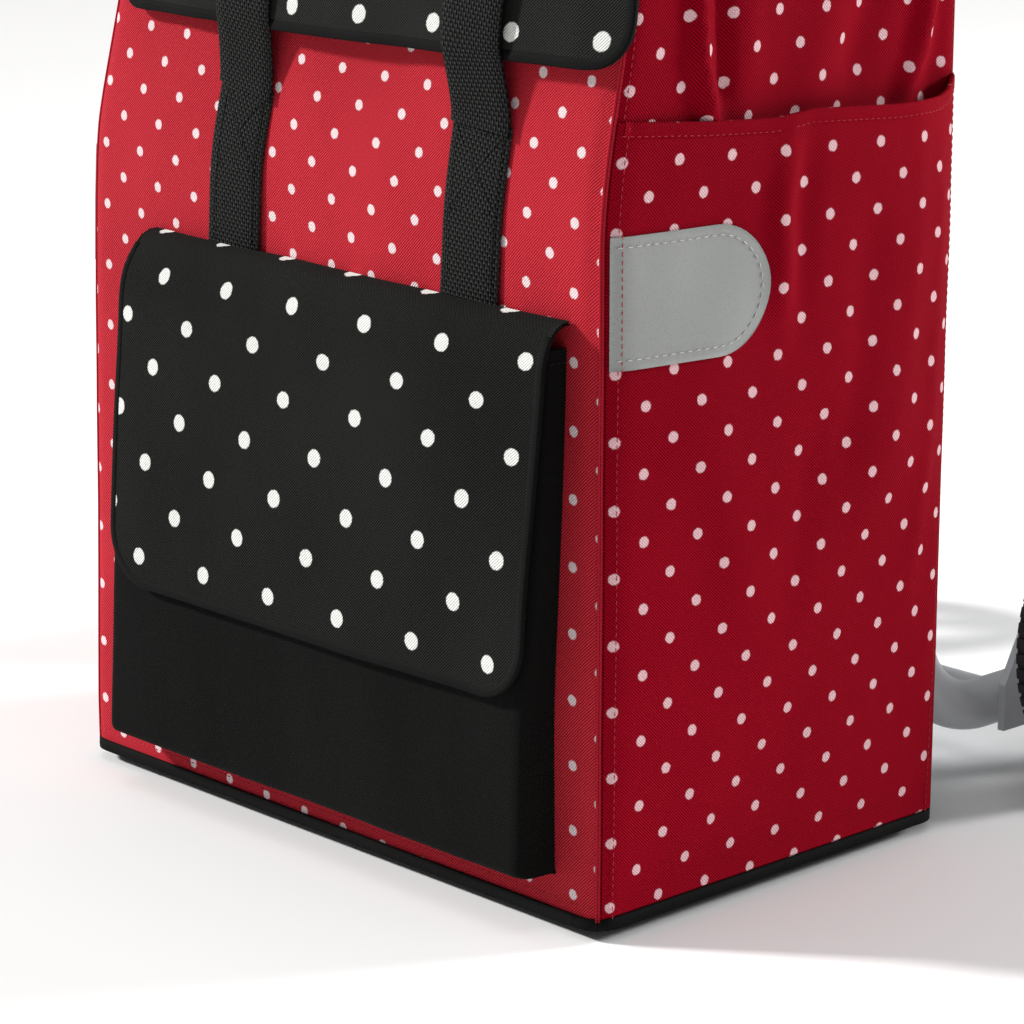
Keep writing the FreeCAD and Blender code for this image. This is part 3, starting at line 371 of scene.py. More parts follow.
# one red cloth in two copies: the side walls' and side pocket's copy is painted darker as shade, with pinker dots
sideShadedGround, sideShade = tint(172, 7, 34), tint(106, 0, 16)
blackGround, blackShade = tint(41, 42, 40), tint(3, 4, 3)
lidGround = tint(45, 46, 43)
whiteInk = tint(230, 230, 226), tint(196, 198, 194)
finishes = {
    "redFront": wovenCloth("red_dotted_front", redGround, redShade, dots=redDots,
                           dotTint=(tint(232, 218, 220), tint(212, 180, 185))),
    # the side copy of the red cloth: painted shade on the side walls and side pocket
    "redSideShaded": wovenCloth("red_dotted_side_shaded", sideShadedGround, sideShade, -1.0, dots=sideDots,
                          dotTint=(tint(236, 200, 204), tint(214, 160, 168)), sheen=0.0, shine=0.03),
    "blackPlain": wovenCloth("black_plain", tint(27, 27, 26), tint(3, 3, 3), pitch=0.0013, sheen=0.01, shine=0.05),
    "blackDots": wovenCloth("black_dotted", blackGround, blackShade, dots=flapDots, dotTint=whiteInk,
                            sheen=0.01, shine=0.05),
    "lidDots": wovenCloth("black_dotted_lid", lidGround, blackShade, dots=lidDots, dotTint=whiteInk),
    "binding": tapeFinish("black_binding", tint(21, 22, 21), tint(4, 4, 4), 0.0008),
    "piping": tapeFinish("red_piping", tint(190, 38, 54), tint(142, 18, 34), 0.0007),
    "webbing": webbingFinish("black_webbing", tint(62, 63, 62), tint(0, 0, 0)),
    "touchTape": pileFinish("touch_tape", tint(24, 25, 25), tint(6, 6, 6)),
    "blackThread": threadFinish("black_thread", tint(38, 39, 40), tint(14, 15, 15)),
    "redThread": threadFinish("red_thread", tint(206, 58, 72), tint(140, 24, 38)),
    "paleThread": threadFinish("pale_thread", tint(226, 226, 222), tint(178, 178, 174)),
    "reflector": reflectorFinish("reflector", tint(156, 158, 155), tint(126, 128, 126)),
    "framePaint": hardFinish("frame_paint", (tint(168, 171, 174), tint(140, 144, 148)), tint(205, 207, 208), 0.42,
                             metal=0.55, grain=(1500.0, 0.00006), wear=0.45),
    "handleMetal": hardFinish("handle_metal", (tint(205, 207, 209), tint(182, 185, 188)), tint(232, 232, 232), 0.3,
                              metal=1.0, grain=(900.0, 0.00002), wear=0.3, brush=(1600.0, 1600.0, 22.0)),
    "blackPlastic": hardFinish("black_plastic", (tint(34, 35, 36), tint(22, 23, 24)), tint(92, 93, 94), 0.46,
                               grain=(1300.0, 0.00007), wear=0.4),
    "wheelPlastic": hardFinish("wheel_plastic", (tint(74, 76, 79), tint(56, 58, 61)), tint(124, 125, 127), 0.5,
                               grain=(1100.0, 0.00008), edge=0.0012, wear=0.4,
                               dust=(tint(132, 126, 118), 0.22)),
    "tyre": hardFinish("tyre_rubber", (tint(38, 38, 39), tint(26, 26, 27)), tint(70, 69, 68), 0.74,
                       grain=(700.0, 0.00012), wear=0.5, dust=(tint(122, 114, 104), 0.35)),
    "footRubber": hardFinish("foot_rubber", (tint(40, 40, 41), tint(28, 28, 29)), tint(84, 82, 80), 0.8,
                             grain=(900.0, 0.0001), wear=0.5, dust=(tint(124, 118, 110), 0.3)),
    "gripRubber": hardFinish("grip_rubber", (tint(34, 34, 35), tint(24, 24, 25)), tint(66, 66, 66), 0.7,
                             grain=(1600.0, 0.0001), wear=0.3),
    "brightSteel": hardFinish("bright_steel", (tint(198, 200, 202), tint(168, 171, 174)), tint(230, 230, 230), 0.28,
                              metal=1.0, grain=(420.0, 0.00004), edge=0.0005, wear=0.4),
    "baseBoard": hardFinish("base_board", (tint(96, 88, 78), tint(74, 68, 60)), tint(120, 112, 100), 0.82,
                            grain=(520.0, 0.0002), wear=0.4),
}
print("finishes made:", len(finishes))


# number helpers
def ease(t):
    t = np.clip(t, 0, 1)
    return t * t * (3 - 2 * t)


def unit(vectors):
    return vectors / np.maximum(np.linalg.norm(vectors, axis=-1, keepdims=True), 1e-9)


def squared(side, along):
    # the part of side that is at right angles to along
    return unit(side - along * (side * along).sum(-1, keepdims=True))


def runOf(line):
    # how far along the line each of its points is
    return np.concatenate([[0], np.cumsum(np.linalg.norm(np.diff(line, axis=0), axis=1))])


def sampled(line, run, count):
    where = np.linspace(0, run[-1], count)
    return np.stack([np.interp(where, run, column) for column in line.T], axis=1)


def spaced(line, count):
    return sampled(line, runOf(line), count)


def threaded(points, count):
    # a smooth line through the points, evenly spaced
    points = np.array(points, float)
    padded = np.vstack([2 * points[0] - points[1], points, 2 * points[-1] - points[-2]])
    line = []
    for i in range(1, len(padded) - 2):
        a, b, c, d = padded[i - 1:i + 3]
        for t in np.linspace(0, 1, 24, endpoint=False):
            line.append(0.5 * (2 * b + (c - a) * t + (2 * a - 5 * b + 4 * c - d) * t**2
                               + (3 * b - a - 3 * c + d) * t**3))
    line.append(points[-1])
    return spaced(np.array(line), count)


waves = {}
waveSet = {"count": 12, "spread": 1.2, "level": 4.5, "fullTurn": 6.283}


def ripple(u, v, seed, low=0.035, high=0.13):
    # a still, uneven surface: a sum of plane waves of different lengths, about -1 to 1
    if seed not in waves:
        chance = np.random.default_rng(seed)
        waves[seed] = [(chance.uniform(low, high), chance.normal(0, waveSet["spread"]),
                        chance.uniform(0, waveSet["fullTurn"])) for _ in range(waveSet["count"])]
    total = 0
    for length, turn, phase in waves[seed]:
        along = u * math.cos(turn) + v * math.sin(turn)
        total = total + length / high * np.sin(along * waveSet["fullTurn"] / length + phase)
    return total / waveSet["level"]


def fold(u, v, line, wide, tall, ends=0.03):
    # a ridge along a line of (u, v) points, dying away at its ends
    line = spaced(np.array(line, float), 24)
    best = np.full(np.shape(u), 9.0)
    share = np.zeros(np.shape(u))
    run = np.linspace(0, 1, len(line))
    for i, (a, b) in enumerate(line):
        gap = np.hypot(u - a, v - b)
        closer = gap < best
        best = np.where(closer, gap, best)
        share = np.where(closer, run[i], share)
    long = runOf(line)[-1]
    fade = ease(share * long / ends + 0.25) * ease((1 - share) * long / ends + 0.25)
    return tall * np.exp(-(best / wide) ** 2) * fade


# The bag's soft form, shared by everything sewn to it: its top leans right and back, its left wall
# is drawn in, its walls belly and ripple a little.
bagForm = {"leanLow": 0.31, "leanHigh": 0.44, "leanRight": 0.0085, "leanBack": 0.008,
           "frontBelly": 0.0030, "sideBelly": 0.0035, "rearBelly": 0.003,
           "frontRipple": 0.0010, "sideRipple": 0.0013, "rearRipple": 0.0012, "rimSag": 0.0012, "cornerRound": 0.009}
tuckHeights = [0.03, 0.137, 0.24, 0.291, 0.331, 0.361, 0.392, 0.56]
tuckSizes = [0.0, 0.005, 0.008, 0.0105, 0.0135, 0.0175, 0.0210, 0.019]


def tucked(x, z):
    # how far the left part of the front is drawn to the right
    return ease((0.02 - x) / (halfWide + 0.02)) * np.interp(z, tuckHeights, tuckSizes)


def soften(p):
    x, y, z = p[..., 0], p[..., 1], p[..., 2]
    fore = np.clip((rearY - y) / (2 * halfDeep), 0, 1)
    up = ease((z - bagForm["leanLow"]) / (bagForm["leanHigh"] - bagForm["leanLow"]))
    tall = np.clip((z - wallLow) / (wallTop - wallLow), 0, 1)
    across = np.clip(x / halfWide, -1, 1)
    along = np.clip((y - bagY) / halfDeep, -1, 1)
    dx = up * bagForm["leanRight"] * fore + tucked(x, z) * (0.25 + 0.75 * fore)
    dy = up * bagForm["leanBack"] * fore
    swell = np.sin(math.pi * tall ** 0.8)
    atFront = np.clip(-along, 0, 1) ** 6
    atRear = np.clip(along, 0, 1) ** 6
    atSide = np.abs(across) ** 8
    frontShare = (1 - np.abs(across) ** 5) * ease(tall * 14) * ease((1 - tall) * 14)
    sideShare = (1 - np.abs(along) ** 5) * ease(tall * 14) * ease((1 - tall) * 14)
    dy = dy - atFront * frontShare * (bagForm["frontBelly"] * swell + bagForm["frontRipple"] * ripple(x, z, 3))
    dy = dy + atRear * frontShare * (bagForm["rearBelly"] * swell * 0.5 + bagForm["rearRipple"] * ripple(x, z, 5))
    dx = dx + np.sign(x) * atSide * sideShare * (bagForm["sideBelly"] * swell
                                                 + bagForm["sideRipple"] * ripple(y, z, 7))
    dz = -bagForm["rimSag"] * ease(tall * 3) * (1 - np.abs(across)) * up
    return np.stack([x + dx, y + dy, z + dz], axis=-1)


# A cloth is a function from its own flat place (u, v) to a place in space; lift is along its face.
class Cloth:
    def __init__(self, where, facing=1):
        self.where = where
        self.facing = facing

    def at(self, u, v, lift=0.0):
        u, v = np.broadcast_arrays(np.asarray(u, float), np.asarray(v, float))
        here = self.where(u, v)
        if np.all(np.asarray(lift) == 0):
            return here
        return here + self.normal(u, v) * np.asarray(lift)[..., None]

    def normal(self, u, v):
        step = 0.0009
        du = self.where(u + step, v) - self.where(u - step, v)
        dv = self.where(u, v + step) - self.where(u, v - step)
        return unit(np.cross(du, dv)) * self.facing


def meshPiece(name, points, faces, material, uv):
    data = bpy.data.meshes.new(name)
    data.from_pydata([tuple(p) for p in np.asarray(points).reshape(-1, 3)], [], faces)
    order = np.empty(len(data.loops), np.int64)
    data.loops.foreach_get("vertex_index", order)
    flat = np.asarray(uv).reshape(-1, 2)
    data.uv_layers.new(name="cloth").data.foreach_set("uv", flat[order].astype(np.float32).ravel())
    data.materials.append(finishes[material])
    data.polygons.foreach_set("use_smooth", [True] * len(data.polygons))
    data.update()
    return addObject(name, data)


def gridFaces(rows, columns, start=0, turned=False, loopRows=False, loopColumns=False):
    faces = []
    for i in range(rows if loopRows else rows - 1):
        for j in range(columns if loopColumns else columns - 1):
            k, m = (i + 1) % rows, (j + 1) % columns
            quad = (start + i * columns + j, start + k * columns + j, start + k * columns + m, start + i * columns + m)
            faces.append(quad[::-1] if turned else quad)
    return faces


def tubeFaces(count, size, turned):
    # the skin of a tube of count rings, with both ends closed
    ends = [tuple(range(size)), tuple(range((count - 1) * size, count * size))[::-1]]
    return gridFaces(count, size, 0, turned, loopColumns=True) + (ends if turned else [end[::-1] for end in ends])


def stepsRound(line):
    # the way that a closed line goes at each of its points
    return np.roll(line, -1, axis=0) - np.roll(line, 1, axis=0)


def shell(name, cloth, us, vs, thick, material, uv=None, lift=0.0):
    # a sheet with two faces and a rounded rim, over grids of u and v
    rows, columns = us.shape
    outer = cloth.at(us, vs, lift)
    normal = cloth.normal(us, vs)
    inner = outer - normal * thick
    turned = cloth.facing < 0
    count = rows * columns
    faces = gridFaces(rows, columns, 0, turned) + gridFaces(rows, columns, count, not turned)
    ring = ([(i, 0) for i in range(rows)] + [(rows - 1, j) for j in range(1, columns)]
            + [(i, columns - 1) for i in range(rows - 2, -1, -1)] + [(0, j) for j in range(columns - 2, 0, -1)])
    ids = [i * columns + j for i, j in ring]
    middle = (outer - normal * thick / 2).reshape(-1, 3)[ids]
    outward = np.cross(unit(stepsRound(middle)), normal.reshape(-1, 3)[ids]) * (1 if turned else -1)
    rim = middle + unit(outward) * thick * 0.45
    base = 2 * count
    for a in range(len(ids)):
        b = (a + 1) % len(ids)
        first = (ids[a], base + a, base + b, ids[b])
        second = (base + a, count + ids[a], count + ids[b], base + b)
        faces += [first, second] if turned else [first[::-1], second[::-1]]
    points = np.vstack([outer.reshape(-1, 3), inner.reshape(-1, 3), rim])
    flat = (np.stack([us, vs], axis=-1) if uv is None else uv).reshape(-1, 2)
    return meshPiece(name, points, faces, material, np.vstack([flat, flat, flat[ids]]))


def band(path, wide, side, thick):
    # points, faces and uv of a flat band with softened edges; side is the way that its width lies
    along = unit(np.gradient(path, axis=0))
    side = squared(side, along)
    face = unit(np.cross(along, side))
    trimmed = 0.0006
    shape = [(-1, 0, 0), (-1, 0.5, trimmed), (-0.45, 1, 0), (0, 1.06, 0), (0.45, 1, 0), (1, 0.5, trimmed),
             (1, 0, 0), (1, -0.5, trimmed), (0.45, -1, 0), (0, -1.06, 0), (-0.45, -1, 0), (-1, -0.5, trimmed)]
    points, uv = [], []
    for i, run in enumerate(runOf(path)):
        for a, b, trim in shape:
            reach = a * (wide / 2) - math.copysign(trim, a)
            points.append(path[i] + side[i] * reach + face[i] * b * (thick / 2))
            uv.append((reach, run))
    return np.array(points), tubeFaces(len(path), len(shape), True), np.array(uv)


def cordLike(path, section, outward, closed=False):
    # sweeps a closed section (a along outward, b across it) on a path
    count, size = len(path), len(section)
    along = unit(stepsRound(path) if closed else np.gradient(path, axis=0))
    outward = squared(np.broadcast_to(outward, path.shape), along)
    across = np.cross(along, outward)
    points = [path[i] + outward[i] * a + across[i] * b for i in range(count) for a, b in section]
    uv = [(b, run) for run in runOf(path) for a, b in section]
    faces = gridFaces(count, size, 0, False, True, True) if closed else tubeFaces(count, size, False)
    return np.array(points), faces, np.array(uv)


def joined(name, parts, material):
    points, faces, uv, start = [], [], [], 0
    for p, f, t in parts:
        points.append(p)
        uv.append(t)
        faces += [tuple(start + i for i in face) for face in f]
        start += len(p)
    return meshPiece(name, np.vstack(points), faces, material, np.vstack(uv))


# Geometry Nodes: a tree is built once for each kind of repeat, and its result is kept as a plain mesh
def socketOf(tree, name):
    return next(item.identifier for item in tree.interface.items_tree
                if item.item_type == "SOCKET" and item.in_out == "INPUT" and item.name == name)


def startTree(name, **inputs):
    tree = bpy.data.node_groups.new(name, "GeometryNodeTree")
    for label, kind in {"Geometry": "Geometry", **inputs}.items():
        tree.interface.new_socket(label, in_out="INPUT", socket_type="NodeSocket" + kind)
    tree.interface.new_socket("Geometry", in_out="OUTPUT", socket_type="NodeSocketGeometry")
    given = tree.nodes.new("NodeGroupInput").outputs

    def add(kind, settings=(), values=()):
        return addNode(tree, kind, settings, values)

    def join(*parts):
        both = add("GeometryNodeJoinGeometry")
        for part in parts:
            tree.links.new(part, both.inputs[0])
        return both

    def close(result):
        dressed = add("GeometryNodeSetMaterial", {}, {0: result, "Material": given["Finish"]})
        add("NodeGroupOutput", {}, {0: dressed})
        return tree

    return given, add, join, close


def runTree(name, data, tree, values):
    source = addObject(name + "_source", data)
    modifier = source.modifiers.new("repeat", "NODES")
    modifier.node_group = tree
    for label, value in values.items():
        modifier[socketOf(tree, label)] = value
    bpy.context.view_layer.update()
    graph = bpy.context.evaluated_depsgraph_get()
    plain = bpy.data.meshes.new_from_object(source.evaluated_get(graph))
    plain.name = name
    bpy.data.objects.remove(source)
    return addObject(name, plain)


# stitches: a small rounded bead on every step of a line, turned along it
def stitchTree():
    given, add, join, close = startTree("stitches", Pitch="Float", Long="Float", Thick="Float", Finish="Material")
    line = add("GeometryNodeMeshToCurve", {}, {0: given["Geometry"]})
    steps = add("GeometryNodeResampleCurve", {"mode": "LENGTH"}, {"Curve": line, "Length": given["Pitch"]})
    bead = add("GeometryNodeMeshUVSphere", {}, {"Segments": 6, "Rings": 5, "Radius": 0.5})
    turn = add("FunctionNodeAlignRotationToVector", {"axis": "X"}, {"Vector": add("GeometryNodeInputTangent")})
    size = add("ShaderNodeCombineXYZ", {}, {0: given["Long"], 1: given["Thick"], 2: given["Thick"]})
    put = add("GeometryNodeInstanceOnPoints", {}, {"Points": steps, "Instance": bead, "Rotation": turn, "Scale": size})
    real = add("GeometryNodeRealizeInstances", {}, {0: put})
    return close(add("GeometryNodeSetShadeSmooth", {}, {0: real}))


stitchSet = {"pitch": 0.0040, "long": 0.0031, "thick": 0.00062}
stitches = stitchTree()


def sewing(name, lines, material, pitch=stitchSet["pitch"], long=stitchSet["long"], thick=stitchSet["thick"]):
    points, edges, start = [], [], 0
    for line in lines:
        points += [tuple(p) for p in line]
        edges += [(start + i, start + i + 1) for i in range(len(line) - 1)]
        start += len(line)
    data = bpy.data.meshes.new(name + "_lines")
    data.from_pydata(points, edges, [])
    return runTree(name, data, stitches, {"Pitch": pitch, "Long": long, "Thick": thick, "Finish": finishes[material]})


# bag walls
wallSet = {"thick": 0.0022, "cell": 0.005}
bend = bagForm["cornerRound"]


def turnedIn(u, half):
    # a wall's own width bends round the corner for an eighth of a turn
    flat = half - bend
    angle = np.clip((np.abs(u) - flat) / bend, 0, None)
    along = np.where(np.abs(u) > flat, flat + bend * np.sin(angle), np.abs(u)) * np.sign(u)
    return along, bend * (1 - np.cos(angle))


def frontWhere(u, v):
    x, back = turnedIn(u, halfWide)
    return soften(np.stack([x, frontY + back, v], axis=-1))


def rearWhere(u, v):
    x, back = turnedIn(u, halfWide)
    return soften(np.stack([x, rearY - back, v], axis=-1))


# creases of the right wall above its pocket, as (front to back, height, from the bag's middle)
wallFolds = [([(-0.076, 0.44), (-0.069, 0.390), (-0.058, 0.363), (-0.052, 0.34)], 0.0050, 0.0060),
             ([(-0.060, 0.44), (-0.052, 0.388), (-0.046, 0.360)], 0.0050, -0.0040),
             ([(-0.040, 0.43), (-0.036, 0.390), (-0.034, 0.365)], 0.0090, 0.0020),
             ([(0.092, 0.43), (0.081, 0.381), (0.066, 0.352)], 0.0070, 0.0060),
             ([(0.106, 0.43), (0.099, 0.381), (0.088, 0.352)], 0.0080, -0.0030),
             ([(0.020, 0.44), (0.015, 0.400), (0.000, 0.355)], 0.0160, 0.0030),
             ([(0.058, 0.44), (0.045, 0.400), (0.032, 0.365)], 0.0120, -0.0040)]
pocketFolds = [([(-0.013, 0.362), (-0.017, 0.320), (-0.015, 0.262)], 0.0075, 0.0042),
               ([(0.001, 0.362), (-0.004, 0.320), (-0.004, 0.262)], 0.0080, -0.0026),
               ([(0.090, 0.345), (0.094, 0.263), (0.088, 0.193), (0.078, 0.120)], 0.0070, 0.0016),
               ([(0.040, 0.330), (0.034, 0.250), (0.020, 0.180)], 0.0110, -0.0020),
               ([(-0.060, 0.240), (-0.045, 0.190), (-0.030, 0.120)], 0.0140, 0.0016),
               ([(0.012, 0.240), (0.000, 0.180), (-0.012, 0.110)], 0.0120, -0.0018)]
# the patch is fullest along this line, as (height, front to back), and slopes from it to the rear seam
crestHeights = [0.05, 0.116, 0.152, 0.178, 0.208, 0.249, 0.313, 0.346]
crestPlaces = [0.010, 0.019, 0.030, 0.041, 0.056, 0.064, 0.070, 0.068]


def sideWhere(sign):
    def where(u, v):
        y, back = turnedIn(u, halfDeep)
        rise = np.zeros(np.shape(u))
        flip = 1 if sign > 0 else -0.4
        for line, wide, tall in wallFolds:
            rise = rise + fold(u, v, line, wide, tall) * flip
        rise = rise * ease((halfDeep - np.abs(u)) / 0.02)
        return soften(np.stack([sign * (halfWide - back + rise), bagY + y, v], axis=-1))

    return where


frontCloth = Cloth(frontWhere)
rearCloth = Cloth(rearWhere, -1)
rightCloth = Cloth(sideWhere(1))
leftCloth = Cloth(sideWhere(-1), -1)
frontSpan = halfWide - bend + bend * math.pi / 4
sideSpan = halfDeep - bend + bend * math.pi / 4


def spread(low, high, cell):
    return np.linspace(low, high, max(2, int(round((high - low) / cell)) + 1))


def grid(u, v):
    return np.meshgrid(u, v, indexing="ij")


def makeWall(name, cloth, span, node, material, cell):
    us, vs = grid(spread(-span, span, cell), spread(wallLow, wallTop, cell))
    # the print isn't squeezed where the wall is drawn in
    uv = np.stack([us + (tucked(us, vs) if node == "front_panel" else 0), vs], axis=-1)
    wall = shell(name, cloth, us, vs, wallSet["thick"], material, uv)
    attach(wall, "bag")
    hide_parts(node)


makeWall("frontWall", frontCloth, frontSpan, "front_panel", "redFront", wallSet["cell"])
makeWall("rearWall", rearCloth, frontSpan, "back_panel", "blackPlain", wallSet["cell"] * 1.6)
makeWall("rightWall", rightCloth, sideSpan, "side_panel_right", "redSideShaded", 0.003)
makeWall("leftWall", leftCloth, sideSpan, "side_panel_left", "redSideShaded", wallSet["cell"])
print("bag walls made")

# welts at the four corners: two thin rolls side by side
weltSet = {"roll": 0.00062, "apart": 0.0006, "proud": 0.0001, "seam": 0.0012, "low": 0.0095}


def makeWelts():
    parts = []
    section = []
    radius, seam = weltSet["roll"], weltSet["seam"]
    for centre in (-weltSet["apart"], weltSet["apart"]):
        section += [(radius * math.cos(t) + weltSet["proud"], centre + radius * math.sin(t))
                    for t in np.linspace(-2.2, 2.2, 7)]
    section += [(-seam, seam), (-seam, -seam)]
    z = np.linspace(weltSet["low"], wallTop, 110)
    corner = bend * (1 - math.sin(math.pi / 4))
    for signX in (-1, 1):
        for signY in (-1, 1):
            line = np.stack([np.full_like(z, signX * (halfWide - corner)),
                             np.full_like(z, bagY + signY * (halfDeep - corner)), z], axis=-1)
            parts.append(cordLike(soften(line), section, (signX, signY, 0)))
    welts = joined("cornerWelts", parts, "piping")
    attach(welts, "bag")
    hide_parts("corner_piping")


makeWelts()


def aroundBag(out, z, corner=0.012):
    # a loop round the bag's outline, grown by out
    wide, deep = halfWide + out, halfDeep + out
    line = []
    for cx, cy, first in ((1, -1, -90), (1, 1, 0), (-1, 1, 90), (-1, -1, 180)):
        for t in np.radians(np.linspace(first, first + 90, 7)):
            line.append((cx * (wide - corner) + corner * math.cos(t),
                         bagY + cy * (deep - corner) + corner * math.sin(t), z))
    return spaced(np.array(line + [line[0]]), 336)[:-1]


edgeBands = [("baseBinding", "base_binding", 0.0006, 0.0052, 0.0110, 0.0022),
             ("rimBinding", "rim_binding", -0.0012, wallTop - 0.009, wallTop + 0.0028, 0.0030)]


def makeEdgeBands():
    # base binding under the walls, and the rim binding under the lid
    for name, node, out, low, high, thick in edgeBands:
        line = soften(aroundBag(out, (low + high) / 2))
        half, tall = thick / 2, (high - low) / 2
        section = [(-half, 0.0), (-half, 1.0), (0.0, 1.12), (half, 1.0), (thick * 0.58, 0.0), (half, -1.0),
                   (0.0, -1.12), (-half, -1.0)]
        section = [(a, b * tall / 1.12) for a, b in section]
        outward = np.cross(unit(stepsRound(line)), (0, 0, 1))
        piece = joined(name, [cordLike(line, section, outward, True)], "binding")
        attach(piece, "bag")
        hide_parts(node)


makeEdgeBands()


def makeBase():
    low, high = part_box("base_panel")
    inset, cell = 0.002, 0.008
    us, vs = grid(spread(-halfWide + inset, halfWide - inset, cell), spread(-halfDeep + inset, halfDeep - inset, cell))

    def where(u, v):
        dip = 0.0008 * ripple(u, v, 11) * (1 - (u / halfWide) ** 4) * (1 - (v / halfDeep) ** 4)
        return soften(np.stack([u, bagY + v, low.z + 0.0004 + np.abs(dip)], axis=-1))

    base = shell("basePanel", Cloth(where, -1), us, vs, min(0.0022, high.z - low.z), "blackPlain")
    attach(base, "bag")
    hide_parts("base_panel")


makeBase()
print("welts, bindings and base made")

# front pocket: a box of cloth that is deeper at its foot
pocketLow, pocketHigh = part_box("front_pocket")
pocketSet = {"left": pocketLow.x, "right": pocketHigh.x, "low": pocketLow.z, "high": pocketHigh.z - 0.012,
             "footDeep": frontY - pocketLow.y, "mouthDeep": 0.012, "round": 0.006, "thick": 0.0018,
             "gap": 0.0004, "ripple": 0.0008, "leanRight": 0.0075, "leanLeft": 0.0070}


def roundedLine(corners, radius):
    # a line of (a, b) points whose corners are rounded, with its run
    line = [np.array(corners[0], float)]
    for before, here, after in zip(corners, corners[1:], corners[2:]):
        before, here, after = (np.array(p, float) for p in (before, here, after))
        first = here + unit(before - here) * radius
        last = here + unit(after - here) * radius
        for t in np.linspace(0, 1, 8):
            line.append(first * (1 - t) ** 2 + here * 2 * t * (1 - t) + last * t**2)
    line.append(np.array(corners[-1], float))
    line = np.array(line)
    return runOf(line), line


def pocketDepth(z):
    share = np.clip((z - pocketSet["low"]) / (pocketSet["high"] - pocketSet["low"]), 0, 1)
    return pocketSet["footDeep"] * (1 - share) + pocketSet["mouthDeep"] * share


deepHere = pocketSet["footDeep"]
pocketAcross, pocketPlan = roundedLine(
    [(pocketSet["left"], 0), (pocketSet["left"] + 0.001, deepHere), (pocketSet["right"] - 0.001, deepHere),
     (pocketSet["right"], 0)], pocketSet["round"])
pocketUp, pocketSide = roundedLine(
    [(pocketSet["low"], 0), (pocketSet["low"] + 0.0006, deepHere), (pocketSet["high"], deepHere)], pocketSet["round"])


def pocketWhere(u, v):
    x = np.interp(u, pocketAcross, pocketPlan[:, 0])
    out = np.interp(u, pocketAcross, pocketPlan[:, 1]) / deepHere
    z = np.interp(v, pocketUp, pocketSide[:, 0])
    share = np.interp(v, pocketUp, pocketSide[:, 1]) / deepHere
    deep = pocketDepth(z) * out * share
    middle = (x - pocketSet["left"]) / (pocketSet["right"] - pocketSet["left"])
    full = np.sin(math.pi * np.clip(middle, 0, 1)) * share * out
    deep = deep + pocketSet["ripple"] * full * ripple(x, z, 21, 0.04, 0.16)
    # its mouth stands further right than its foot
    high = (z - pocketSet["low"]) / (pocketSet["high"] - pocketSet["low"])
    x = x + high * (pocketSet["leanRight"] * middle + pocketSet["leanLeft"] * (1 - middle)) * ease(high * 1.4)
    return soften(np.stack([x, frontY - pocketSet["gap"] - deep, z], axis=-1))


def makePocket():
    u = np.unique(np.concatenate([pocketAcross, spread(0, pocketAcross[-1], 0.004)]))
    v = np.unique(np.concatenate([pocketUp, spread(0, pocketUp[-1], 0.004)]))
    cloth = Cloth(pocketWhere)
    pocket = shell("frontPocket", cloth, *grid(u, v), pocketSet["thick"], "blackPlain")
    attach(pocket, "bag")
    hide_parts("front_pocket")
    # where the hem of the mouth is sewn
    return cloth.at(spread(0.002, pocketAcross[-1] - 0.002, 0.004), pocketUp[-1] - 0.006, 0.0004)


pocketHem = makePocket()

# flap over the front pocket
flapLow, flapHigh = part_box("pocket_flap")
flapSet = {"left": flapLow.x, "right": flapHigh.x, "low": flapLow.z, "top": flapHigh.z, "round": 0.028,
           "thick": 0.0018, "gap": 0.0036, "hem": 0.0040, "ripple": 0.0008, "curl": 0.0014, "pressed": 0.0035,
           "seamWave": 0.0006, "leanRight": 0.0075, "topRight": 0.0065, "topLeft": 0.0045}


def flapProfile():
    # from the seam on the wall, over the pocket's mouth and down its front: (out, z)
    top = flapSet["top"]
    line = [(0.0010, top + 0.0008), (0.0050, top + 0.0006), (0.0095, top - 0.0022), (0.0132, top - 0.0085),
            (0.0155, top - 0.0175), (pocketDepth(0.255) + flapSet["gap"], 0.255)]
    for z in np.linspace(0.235, flapSet["low"], 6):
        line.append((pocketDepth(z) + flapSet["gap"] + 0.0012 * math.sin((0.235 - z) * 20), z))
    line = threaded(line, 140)
    return runOf(line), line


flapRun, flapLine = flapProfile()
flapLong = flapRun[-1]


def flapWhere(u, v):
    out = np.interp(v, flapRun, flapLine[:, 0])
    z = np.interp(v, flapRun, flapLine[:, 1]) - np.maximum(v - flapLong, 0)
    middle = (u - flapSet["left"]) / (flapSet["right"] - flapSet["left"])
    leftHalf, rightHalf = np.clip(1 - middle * 2, 0, 1), np.clip(middle * 2 - 1, 0, 1)
    free = ease((v - 0.03) / 0.05)
    curl = flapSet["curl"] * np.clip(middle - 0.9, 0, 1) * 10 * ease((v - 0.1) / 0.06)
    out = out + free * (flapSet["ripple"] * ripple(u, v, 31, 0.06, 0.2) + curl)
    out = out - flapSet["pressed"] * np.clip(1 - middle * 8, 0, 1) ** 2 * ease((v - 0.02) / 0.03) * 0.4
    out = out + flapSet["seamWave"] * np.sin(middle * 9.0) * ease(1 - (v - 0.012) / 0.03)
    # the left edge hangs inwards a little below its top corner
    drawn = flapSet["topRight"] * (1 - ease(v / 0.04)) - flapSet["topLeft"] * ease((v - 0.01) / 0.04)
    x = u + flapSet["leanRight"] * rightHalf * (1 - 0.7 * ease(v / 0.14)) + leftHalf * drawn
    z = z - (0.0030 + 0.0042 * middle) * (1 - ease(v / 0.09))
    return soften(np.stack([x, frontY - out, z], axis=-1))


